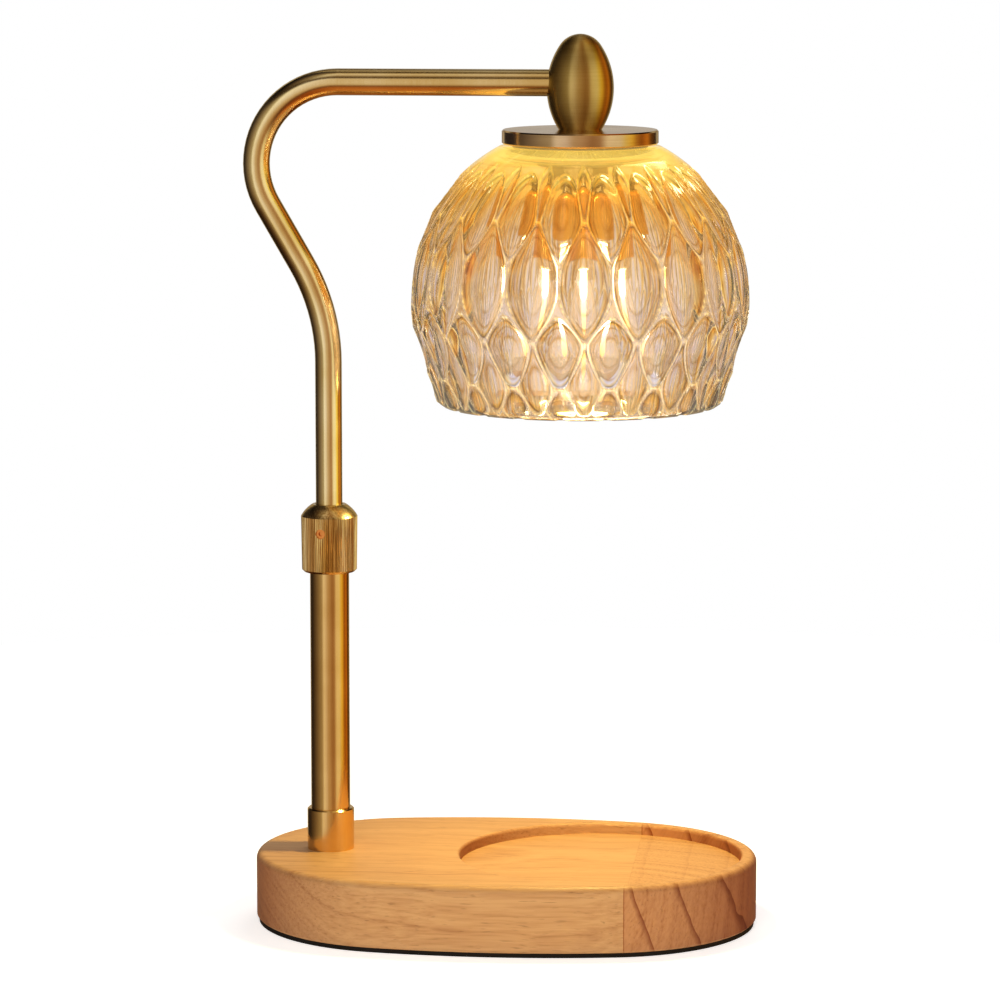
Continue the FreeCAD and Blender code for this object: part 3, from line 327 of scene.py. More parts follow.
@dataclass(frozen=True)
class Rubberwood:
    """Oiled rubberwood, planed and glued from two staves.

    Growth rings run round a pith that lies lengthwise under the block, so its sides show long
    figure, with fine fibres and short dark pores, both drawn coarser than real ones, so that they
    show. End grain has drunk more oil and is redder and darker, and the block's ends are darkened
    further as painted shade where they turn away from the light. The second stave's grain leans,
    and its growth lines lie far apart. Places are in metres, in object coordinates.
    """

    name: str = "oiled_rubberwood"
    tones: tuple[Stop, ...] = ((0.30, "#ae7647"), (0.44, "#c6915d"), (0.60, "#d29f69"))
    pore: str = "#6e4020"
    # Darker ends: oil in the end grain, and painted shade.
    end_grain_and_shade: str = "#b98a72"
    second_stave: str = "#f4e2da"
    glue: str = "#d0ab92"
    growth_line: str = "#b98c70"
    roughness: float = 0.48
    gloss: float = 0.35
    ring_mm: float = 4.2
    ring_along: float = 0.04
    fibre_mm: float = 0.9
    fibre_stretch: float = 0.03
    fibre_share: float = 0.52
    pore_mm: float = 0.6
    pore_stretch: float = 0.09
    pore_range: tuple[float, float] = (0.64, 0.78)
    pore_weight: float = 0.42
    pore_bump: float = 0.10
    pore_depth_mm: float = 0.3
    pith: tuple[float, float, float] = (0.0, 0.020, -0.050)
    warp_mm: float = 71.43
    warp: tuple[float, float, float] = (0.010, 0.014, 0.010)
    joint: float = 0.046
    half_glue_mm: float = 0.18
    stave_shift: tuple[float, float, float] = (0.01, 0.05, 0.02)
    stave_lean: float = 62.0
    stave_turn: float = 0.3
    growth_gap_mm: float = 14.28
    growth_lean: float = 20.0
    growth_phase: float = 1.2
    growth_range: tuple[float, float] = (0.86, 0.99)
    top_weight: float = 0.15

    def build(self) -> bpy.types.Material:
        """Builds the material."""
        material, shader = new_material(self.name)
        tree = material.node_tree
        coordinates = add_node(tree, "ShaderNodeTexCoord")
        place = coordinates.outputs["Object"]
        end, side = self.facing(tree, coordinates.outputs["Normal"])
        beyond, joint_weight, stave_weight = self.staves(tree, place, side)
        grain = self.grain_place(tree, place, beyond)
        rings = self.rings(tree, grain)
        fibres = self.streaks(tree, grain, self.fibre_stretch, self.fibre_mm, 3.0)
        pores = self.streaks(tree, grain, self.pore_stretch, self.pore_mm, 1.0)
        blend = add_node(
            tree,
            "ShaderNodeMix",
            {"data_type": "FLOAT", 0: self.fibre_share},
            {2: rings, 3: fibres},
        )
        wood = add_node(
            tree, "ShaderNodeValToRGB", {"stops": self.tones}, {"Fac": blend.outputs[0]}
        ).outputs["Color"]
        pore_mask = add_node(
            tree,
            "ShaderNodeMapRange",
            {
                "From Min": self.pore_range[0],
                "From Max": self.pore_range[1],
                "To Max": self.pore_weight,
            },
            {"Value": pores},
        ).outputs["Result"]
        growth = self.growth_lines(tree, place, stave_weight)
        # The end tint darkens the ends for oiled end grain and as painted shade.
        for tint, weight in (
            (self.second_stave, stave_weight),
            (self.end_grain_and_shade, end),
            (self.glue, joint_weight),
            (self.growth_line, growth),
        ):
            wood = self.tinted(tree, wood, tint, weight)
        wood = add_node(
            tree,
            "ShaderNodeMix",
            {"data_type": "RGBA", "blend_type": "MIX", 7: linear(self.pore)},
            {0: pore_mask, 6: wood},
        ).outputs[2]
        bump = add_node(
            tree,
            "ShaderNodeBump",
            {"Strength": self.pore_bump, "Distance": self.pore_depth_mm * MM, "invert": True},
            {"Height": pore_mask},
        )
        tree.links.new(wood, shader.inputs["Base Color"])
        tree.links.new(bump.outputs["Normal"], shader.inputs["Normal"])
        shader.inputs["Roughness"].default_value = self.roughness
        shader.inputs["Specular IOR Level"].default_value = self.gloss
        return material

    def facing(self, tree: Tree, normal: Socket) -> tuple[Socket, Socket]:
        """Weighs how squarely the surface cuts the fibres and how upright it stands.

        Args:
            tree: The node tree.
            normal: The surface's own direction.

        Returns:
            One across the fibres and zero along them; one on the sides and little on the top.
        """
        parts = add_node(tree, "ShaderNodeSeparateXYZ", links={"Vector": normal})
        end, flat = (
            add_node(
                tree,
                "ShaderNodeMath",
                {"operation": "MULTIPLY"},
                {0: parts.outputs[axis], 1: parts.outputs[axis]},
            ).outputs[0]
            for axis in ("X", "Z")
        )
        side = add_node(
            tree, "ShaderNodeMapRange", {"To Min": 1.0, "To Max": self.top_weight}, {"Value": flat}
        )
        return end, side.outputs["Result"]

    def staves(self, tree: Tree, place: Socket, side: Socket) -> tuple[Socket, Socket, Socket]:
        """Finds the second stave and the glue line.

        Args:
            tree: The node tree.
            place: Object coordinates.
            side: How far the surface stands upright.

        Returns:
            One beyond the joint, then the weights of the glue line and of the second stave,
            which are full on the sides and faint on the worn top.
        """
        along = add_node(tree, "ShaderNodeSeparateXYZ", links={"Vector": place}).outputs["X"]
        beyond, near = (
            add_node(tree, "ShaderNodeMath", settings, {0: along}).outputs[0]
            for settings in (
                {"operation": "GREATER_THAN", 1: self.joint},
                {"operation": "COMPARE", 1: self.joint, 2: self.half_glue_mm * MM},
            )
        )
        joint_weight, stave_weight = (
            add_node(
                tree, "ShaderNodeMath", {"operation": "MULTIPLY"}, {0: share, 1: side}
            ).outputs[0]
            for share in (near, beyond)
        )
        return beyond, joint_weight, stave_weight

    def grain_place(self, tree: Tree, place: Socket, beyond: Socket) -> Socket:
        """Places the grain: from the pith in the first stave, turned and shifted in the second.

        Args:
            tree: The node tree.
            place: Object coordinates.
            beyond: One in the second stave.

        Returns:
            Coordinates whose X runs with the fibres, gently warped.
        """
        first = add_node(
            tree, "ShaderNodeVectorMath", {"operation": "SUBTRACT", 1: self.pith}, {0: place}
        )
        second = add_node(
            tree,
            "ShaderNodeMapping",
            {
                "Location": self.stave_shift,
                "Rotation": (0.0, math.radians(self.stave_lean), self.stave_turn),
            },
            {"Vector": place},
        )
        chosen = add_node(
            tree,
            "ShaderNodeMix",
            {"data_type": "VECTOR"},
            {0: beyond, 4: first.outputs["Vector"], 5: second.outputs["Vector"]},
        ).outputs[1]
        bend = add_node(
            tree,
            "ShaderNodeTexNoise",
            {"Scale": per_metre(self.warp_mm), "Detail": 2.0},
            {"Vector": place},
        )
        return add_node(
            tree,
            "ShaderNodeVectorMath",
            {"operation": "MULTIPLY_ADD", 1: self.warp},
            {0: bend.outputs["Color"], 2: chosen},
        ).outputs["Vector"]

    def rings(self, tree: Tree, grain: Socket) -> Socket:
        """Growth rings of uneven width round the pith.

        Args:
            tree: The node tree.
            grain: Grain coordinates.

        Returns:
            A tone from 0 to 1.
        """
        across = add_node(
            tree,
            "ShaderNodeVectorMath",
            {"operation": "MULTIPLY", 1: (self.ring_along, 1.0, 1.0)},
            {0: grain},
        )
        reach = add_node(
            tree, "ShaderNodeVectorMath", {"operation": "LENGTH"}, {0: across.outputs["Vector"]}
        )
        return add_node(
            tree,
            "ShaderNodeTexNoise",
            {
                "noise_dimensions": "1D",
                "Scale": per_metre(self.ring_mm),
                "Detail": 2.0,
                "Roughness": 0.7,
            },
            {"W": reach.outputs["Value"]},
        ).outputs["Fac"]

    def streaks(
        self, tree: Tree, grain: Socket, stretch: float, width_mm: float, detail: float
    ) -> Socket:
        """Noise drawn out along the fibres.

        Args:
            tree: The node tree.
            grain: Grain coordinates.
            stretch: Width over length of a streak.
            width_mm: Width of a streak.
            detail: Octaves of noise.

        Returns:
            A tone from 0 to 1.
        """
        fine = per_metre(width_mm)
        drawn = add_node(
            tree, "ShaderNodeMapping", {"Scale": (fine * stretch, fine, fine)}, {"Vector": grain}
        )
        return add_node(
            tree,
            "ShaderNodeTexNoise",
            {"Scale": 1.0, "Detail": detail},
            {"Vector": drawn.outputs["Vector"]},
        ).outputs["Fac"]

    def growth_lines(self, tree: Tree, place: Socket, weight: Socket) -> Socket:
        """Thin dark lines, far apart, that lean across the second stave.

        Args:
            tree: The node tree.
            place: Object coordinates.
            weight: The second stave's weight.

        Returns:
            A weight from 0 to 1.
        """
        leaning = add_node(
            tree,
            "ShaderNodeMapping",
            {"Rotation": (0.0, math.radians(self.growth_lean), 0.0)},
            {"Vector": place},
        )
        # The wave texture repeats twenty times in a full turn at a scale of one.
        wave = add_node(
            tree,
            "ShaderNodeTexWave",
            {
                "wave_profile": "SAW",
                "Scale": math.tau / 20.0 * per_metre(self.growth_gap_mm),
                "Distortion": 0.8,
                "Detail": 2.0,
                "Detail Scale": 3.0,
                "Phase Offset": self.growth_phase,
            },
            {"Vector": leaning.outputs["Vector"]},
        )
        dark = add_node(
            tree,
            "ShaderNodeMapRange",
            {"From Min": self.growth_range[0], "From Max": self.growth_range[1]},
            {"Value": wave.outputs["Fac"]},
        )
        return add_node(
            tree,
            "ShaderNodeMath",
            {"operation": "MULTIPLY"},
            {0: dark.outputs["Result"], 1: weight},
        ).outputs[0]

    def tinted(self, tree: Tree, colour: Socket, tint: str, weight: Socket) -> Socket:
        """Multiplies a colour by a tint where a weight says so.

        Args:
            tree: The node tree.
            colour: The colour so far.
            tint: The tint's hex value.
            weight: Zero to one.

        Returns:
            The tinted colour.
        """
        return add_node(
            tree,
            "ShaderNodeMix",
            {"data_type": "RGBA", "blend_type": "MULTIPLY", 7: linear(tint)},
            {0: weight, 6: colour},
        ).outputs[2]


@dataclass(frozen=True)
class Plain:
    """Moulded, fired or plated surface: one colour, faintly clouded, with a fine grain.

    The grain is drawn coarser than a real one, so that it shows.
    """

    name: str
    colour: str
    second: str
    roughness: float
    metallic: float = 0.0
    grain_mm: float = 0.4
    bump: float = 0.08
    grain_depth_mm: float = 0.2
    cloud_mm: float = 16.67
    cloud_range: tuple[float, float] = (0.35, 0.65)
    transmission: float = 0.0
    glow: float = 0.0

    def build(self) -> bpy.types.Material:
        """Builds the material."""
        material, shader = new_material(self.name)
        tree = material.node_tree
        place = add_node(tree, "ShaderNodeTexCoord").outputs["Object"]
        grain, cloud = (
            add_node(
                tree,
                "ShaderNodeTexNoise",
                {"Scale": per_metre(size_mm), "Detail": detail},
                {"Vector": place},
            ).outputs["Fac"]
            for size_mm, detail in ((self.grain_mm, 2.0), (self.cloud_mm, 3.0))
        )
        tint = add_node(
            tree,
            "ShaderNodeValToRGB",
            {"stops": ((self.cloud_range[0], self.colour), (self.cloud_range[1], self.second))},
            {"Fac": cloud},
        ).outputs["Color"]
        bump = add_node(
            tree,
            "ShaderNodeBump",
            {"Strength": self.bump, "Distance": self.grain_depth_mm * MM},
            {"Height": grain},
        )
        tree.links.new(tint, shader.inputs["Base Color"])
        tree.links.new(bump.outputs["Normal"], shader.inputs["Normal"])
        shader.inputs["Roughness"].default_value = self.roughness
        shader.inputs["Metallic"].default_value = self.metallic
        shader.inputs["Transmission Weight"].default_value = self.transmission
        if self.glow:
            tree.links.new(tint, shader.inputs["Emission Color"])
            shader.inputs["Emission Strength"].default_value = self.glow
        return material


@dataclass(frozen=True)
class PressedGlass:
    """Fire-polished soda-lime glass: clear, with the bulb's light painted into it.

    The clear body is tinted amber towards the crown, and the glass glows more towards the crown and
    round the neck: painted glow for the bulb's light in the wall. Painted highlights glow along the
    sharp ridges between the cuts. Each cut has nested outlines painted in it for what it bends from
    behind, broken here and there by the glass's flow. It bends light a little more than common
    soda-lime glass at 1.52, for the sparkle. Heights are in metres.
    """

    name: str = "pressed_glass"
    foot: float = 0.1873
    crown: float = 0.2787
    # Clear body with painted amber near the crown, painted glow and painted ridge highlights,
    # from the foot (0) to the crown (1).
    body: tuple[Stop, ...] = (
        (0.00, "#fefcfb"),
        (0.30, "#fefaf5"),
        (0.62, "#fef4e2"),
        (0.84, "#fceabc"),
        (1.00, "#fbe3a4"),
    )
    glow: tuple[Stop, ...] = (
        (0.00, "#272524"),
        (0.45, "#28241e"),
        (0.66, "#34291a"),
        (0.86, "#4c3a1a"),
        (0.93, "#726230"),
        (1.00, "#7e7038"),
    )
    ridges: tuple[Stop, ...] = ((0.00, "#ffeca6"), (0.50, "#ffde78"), (0.90, "#fac83c"))
    # Painted outlines inside a cut, for what it bends from behind, from its edge (0) to its
    # middle (1).
    contours: tuple[Stop, ...] = (
        (0.00, "#ffffff"),
        (0.13, "#ffffff"),
        (0.20, "#4c2c04"),
        (0.30, "#ffd878"),
        (0.38, "#ffffff"),
        (0.48, "#bc9038"),
        (0.53, "#f4f2fa"),
        (0.74, "#e2deee"),
        (0.80, "#c4aa78"),
        (0.85, "#fffcf4"),
        (1.00, "#ffffff"),
    )
    ridge_strength: float = 0.60
    ridge_range: tuple[float, float] = (0.02, 0.10)
    flow_mm: float = 6.25
    flow_range: tuple[float, float] = (0.35, 0.60)
    least_contour: float = 0.3
    ripple_mm: float = 8.333
    ripple_bump: float = 0.10
    ripple_depth_mm: float = 0.6
    roughness: float = 0.072
    ior: float = 1.58

    def build(self) -> bpy.types.Material:
        """Builds the material."""
        material, shader = new_material(self.name)
        tree = material.node_tree
        place = add_node(tree, "ShaderNodeTexCoord").outputs["Object"]
        lead = add_node(tree, "ShaderNodeAttribute", {"attribute_name": "lead"}).outputs["Fac"]
        height = add_node(tree, "ShaderNodeSeparateXYZ", links={"Vector": place}).outputs["Z"]
        level = add_node(
            tree,
            "ShaderNodeMapRange",
            {"From Min": self.foot, "From Max": self.crown},
            {"Value": height},
        ).outputs["Result"]
        tint, glow, ridge, contour = (
            add_node(tree, "ShaderNodeValToRGB", {"stops": stops}, {"Fac": share}).outputs["Color"]
            for stops, share in (
                (self.body, level),
                (self.glow, level),
                (self.ridges, level),
                (self.contours, lead),
            )
        )
        # Weight of the painted ridge highlights, full at a ridge.
        near_ridge = add_node(
            tree,
            "ShaderNodeMapRange",
            {
                "From Min": self.ridge_range[0],
                "From Max": self.ridge_range[1],
                "To Min": self.ridge_strength,
                "To Max": 0.0,
            },
            {"Value": lead},
        )
        # Painted outlines inside the cuts, for what they bend from behind, tint the clear body.
        tint = add_node(
            tree,
            "ShaderNodeMix",
            {"data_type": "RGBA", "blend_type": "MULTIPLY"},
            {0: self.flow(tree, place), 6: tint, 7: contour},
        ).outputs[2]
        # Painted glow, with painted highlights near the ridges, for the bulb's light in the glass.
        shine = add_node(
            tree,
            "ShaderNodeMix",
            {"data_type": "RGBA", "blend_type": "MIX"},
            {0: near_ridge.outputs["Result"], 6: glow, 7: ridge},
        )
        ripples = add_node(
            tree,
            "ShaderNodeTexNoise",
            {"Scale": per_metre(self.ripple_mm), "Detail": 1.0},
            {"Vector": place},
        )
        bump = add_node(
            tree,
            "ShaderNodeBump",
            {"Strength": self.ripple_bump, "Distance": self.ripple_depth_mm * MM},
            {"Height": ripples.outputs["Fac"]},
        )
        tree.links.new(bump.outputs["Normal"], shader.inputs["Normal"])
        tree.links.new(shine.outputs[2], shader.inputs["Emission Color"])
        tree.links.new(tint, shader.inputs["Base Color"])
        shader.inputs["Emission Strength"].default_value = 1.0
        shader.inputs["Roughness"].default_value = self.roughness
        shader.inputs["IOR"].default_value = self.ior
        shader.inputs["Transmission Weight"].default_value = 1.0
        return material

    def flow(self, tree: Tree, place: Socket) -> Socket:
        """Weighs how clearly the painted outlines show, which the glass's flow breaks up.

        Args:
            tree: The node tree.
            place: Object coordinates.

        Returns:
            A weight from the least one to one.
        """
        noise = add_node(
            tree,
            "ShaderNodeTexNoise",
            {"Scale": per_metre(self.flow_mm), "Detail": 1.0},
            {"Vector": place},
        )
        return add_node(
            tree,
            "ShaderNodeMapRange",
            {
                "From Min": self.flow_range[0],
                "From Max": self.flow_range[1],
                "To Min": self.least_contour,
            },
            {"Value": noise.outputs["Fac"]},
        ).outputs["Result"]


@dataclass(frozen=True)
class Lit:
    """Quartz that glows from the hot filament, with a tone and a strength at each height."""

    name: str
    low_colour: str
    high_colour: str
    low_strength: float
    high_strength: float
    low: float = 0.197
    high: float = 0.240
    roughness: float = 0.15

    def build(self) -> bpy.types.Material:
        """Builds the material."""
        material, shader = new_material(self.name)
        tree = material.node_tree
        place = add_node(tree, "ShaderNodeTexCoord").outputs["Object"]
        height = add_node(tree, "ShaderNodeSeparateXYZ", links={"Vector": place}).outputs["Z"]
        rise = add_node(
            tree,
            "ShaderNodeMapRange",
            {"From Min": self.low, "From Max": self.high},
            {"Value": height},
        ).outputs["Result"]
        tint = add_node(
            tree,
            "ShaderNodeValToRGB",
            {"stops": ((0.0, self.low_colour), (1.0, self.high_colour))},
            {"Fac": rise},
        ).outputs["Color"]
        power = add_node(
            tree,
            "ShaderNodeMapRange",
            {"To Min": self.low_strength, "To Max": self.high_strength},
            {"Value": rise},
        )
        tree.links.new(tint, shader.inputs["Emission Color"])
        tree.links.new(tint, shader.inputs["Base Color"])
        tree.links.new(power.outputs["Result"], shader.inputs["Emission Strength"])
        shader.inputs["Roughness"].default_value = self.roughness
        return material


def make_finishes() -> dict[str, bpy.types.Material]:
    """Builds every finish once.

    Returns:
        Materials by the name that the sub-assemblies use.
    """
    makers = {
        # Rubberwood, planed, glued and oiled: warm long figure, dark short pores, redder ends,
        # darker partly from oil in the end grain and partly as painted shade.
        "wood": Rubberwood(),
        # Foam sheet, die cut: dull black with an open grain.
        "foam": Plain(
            "closed_cell_foam", "#0c0b0b", "#141211", roughness=0.85, grain_mm=0.5, bump=0.4
        ),
        # Nylon, injection moulded: even and half glossy, black or its own off-white.
        "nylon_black": Plain("black_nylon", "#0f0f10", "#171718", roughness=0.45),
        "nylon_white": Plain("white_nylon", "#e6e2d6", "#d9d4c6", roughness=0.4),
        # Brass tube, brushed lengthwise and lacquered: crisp strips of light down its length.
        "brass": WorkedBrass("brushed_brass", "#eaca90", "#dab678"),
        # The same brushed brass, made paler for the arm: a lighter copy, painted light.
        "brass_pale": WorkedBrass("brushed_brass_painted_lighter", "#f8ecc6", "#e8d49e"),
        # Brass hub, spun and satin finished: its rings spread each light into an upright band. Its
        # brass is a darker, more olive copy of the tube's: painted shade.
        "brass_egg": WorkedBrass(
            "spun_egg_brass_painted_darker", "#dcc688", "#c4ac6c", roughness=0.30, lay=Lay.ROUND_Z, spread=0.9
        ),
        # Brass disc, turned and faced: nearly a mirror, with faint rings.
        "brass_disc": WorkedBrass(
            "turned_brass", "#e6d0b2", "#cbb08e", roughness=0.15, lay=Lay.ROUND_Z
        ),
        # Brass cup and contacts, spun or stamped and left bright, their colour made a deeper gold
        # for the bulb's warm light on them: painted light.
        "brass_plain": WorkedBrass(
            "spun_brass_painted_gold", "#ffe094", "#fcd074", roughness=0.12, lay=Lay.ROUND_Z
        ),
        # Brass collar, knurled with a wheel: upright lines of painted shade stand for the dark in
        # its grooves, with broken light between.
        "brass_knurled": WorkedBrass(
            "knurled_brass", "#f6e2b4", "#b89860", roughness=0.24, line_mm=0.5, line_share=0.9
        ),
        # Screw, copper plated: a small red glint.
        "copper": Plain("copper_plate", "#f0a868", "#d88a48", roughness=0.2, metallic=1.0),
        # Steel, zinc plated, and pins, nickel plated: grey and cool, the nickel glossier.
        "steel": Plain("zinc_plated_steel", "#b9b8b2", "#a3a29c", roughness=0.35, metallic=1.0),
        "nickel": Plain("nickel_plate", "#c9c6bd", "#b5b2aa", roughness=0.2, metallic=1.0),
        # Silicone, moulded: milky, and it lets some light through.
        "silicone": Plain(
            "silicone_rubber", "#e8e4da", "#dcd7cb", roughness=0.5, transmission=0.3
        ),
        # Steatite, pressed and fired without glaze: ivory, with the fine grain of the die.
        "ceramic": Plain("steatite_ceramic", "#ece7db", "#e2dccd", roughness=0.5, grain_mm=0.25),
        # Soda-lime glass, pressed in a mould and fire polished: clear, with painted gold glow,
        # painted ridge highlights and painted outlines.
        "glass": PressedGlass(),
        # Quartz, drawn and sealed in a flame: white hot behind, amber at the tip.
        "lit_capsule": Lit(
            "lit_quartz", "#fff4dc", "#fff0cc", low_strength=6.0, high_strength=6.0
        ),
        "lit_tip": Lit(
            "lit_quartz_tip",
            "#ffdf98",
            "#fff0c8",
            low_strength=0.9,
            high_strength=2.2,
            low=0.201,
            high=0.222,
        ),
        # Glass bowl with a cold-mirror coat: clear to heat, and it glows a little from behind.
        "lit_reflector": Plain(
            "dichroic_reflector",
            "#fffdf6",
            "#fffaf0",
            roughness=0.06,
            grain_mm=1.2,
            bump=0.05,
            transmission=1.0,
            glow=0.05,
        ),
        # Glass base and front lens of the bulb, pressed: clear, the base slightly wavy.
        "lit_base": Plain(
            "pressed_bulb_base",
            "#fff8e6",
            "#fff4dc",
            roughness=0.10,
            grain_mm=0.8,
            bump=0.1,
            transmission=1.0,
        ),
        "lit_cover": Plain(
            "lit_front_glass", "#fff6e4", "#fdf0d8", roughness=0.03, transmission=1.0
        ),
    }
    return {name: maker.build() for name, maker in makers.items()}


# ------------------------------------------------------------------ pieces kept from the frame
@dataclass
class SubAssembly:
    """Pieces that keep the frame's shapes and get their finishes here."""

    finishes: dict[str, bpy.types.Material]
    wears: ClassVar[dict[str, str]] = {}

    def build(self) -> None:
        """Dresses each node."""
        for node, finish in self.wears.items():
            material = self.finishes[finish]
            dress(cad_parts[node], material)
            LOG.info("%s wears %s", node, material.name)


class WoodenBase(SubAssembly):
    """The block with the candle's seat, its pad and the cord's outlet."""

    wears = {"base_block": "wood", "base_pad": "foam", "cord_outlet": "nylon_black"}


class Post(SubAssembly):
    """The lower tube and what fastens it to the block."""

    wears = {
        "post_tube": "brass",
        "post_ferrule": "brass",
        "post_plug": "steel",
        "post_nipple": "steel",
        "post_washer": "steel",
        "spring_washer": "steel",
        "post_nut": "steel",
        "post_head": "brass_plain",
    }


class HeightClamp(SubAssembly):
    """The knurled collar and what it squeezes."""

    wears = {
        "arm_collet": "nylon_white",
        # The collar's dark lines are painted shade in its knurl.
        "lock_collar": "brass_knurled",
        "keeper_screw": "copper",
        "guide_bush": "nylon_white",
        "bush_clips": "steel",
    }


class Head(SubAssembly):
    """The swan neck, its hub and the disc that carries the shade."""

    wears = {
        # The arm wears a lighter copy of the tube's brass: painted light.
        "arm_tube": "brass_pale",
        # The hub wears a darker copy of the brass: painted shade.
        "egg_hub": "brass_egg",
        "arm_end_nipple": "steel",
        "head_nipple": "steel",
        "cap_disc": "brass_disc",
        "cap_gasket": "silicone",
        "shade_grommet": "silicone",
        "clamp_washer": "steel",
        "clamp_nut": "steel",
    }


class LampHolder(SubAssembly):
    """The cup and the twist-lock holder in it."""

    wears = {
        # The cup's deeper gold is painted light from the bulb.
        "socket_cup": "brass_plain",
        "cup_nut": "steel",
        "lamp_bracket": "steel",
        "lampholder": "ceramic",
        "holder_screws": "steel",
        "holder_contacts": "brass_plain",
    }


class Bulb(SubAssembly):
    """The reflector bulb."""

    wears = {
        "bulb_base": "lit_base",
        "bulb_pins": "nickel",
        "bulb_capsule": "lit_capsule",
        "bulb_reflector": "lit_reflector",
        "bulb_cover": "lit_cover",
    }


# ------------------------------------------------------------------ pieces modelled here
@dataclass(frozen=True)
class LensRow:
    """One ring of pointed oval cuts.

    Heights are in millimetres above the floor, widths in degrees round the shade.
    """

    low: float
    high: float
    widest: float
    half_width: float
    depth: float
    half_pitch: bool
    blunt: bool = False

    def depth_at(self, height: float, swing: float) -> float:
        """Depth of the cut at a point.

        Args:
            height: Height in millimetres.
            swing: Angle from the nearest cut's middle, in degrees.

        Returns:
            Depth in millimetres, zero outside the cut.
        """
        if not self.low < height < self.high:
            return 0.0
        reach = self.high - self.widest if height > self.widest else self.widest - self.low
        along = (height - self.widest) / reach
        fall = 1.0 - along * along
        if self.blunt and along > 0.0:
            fall = math.sqrt(fall)
        across = swing / (self.half_width * fall)
        return self.depth * fall * (1.0 - across * across) if abs(across) < 1.0 else 0.0


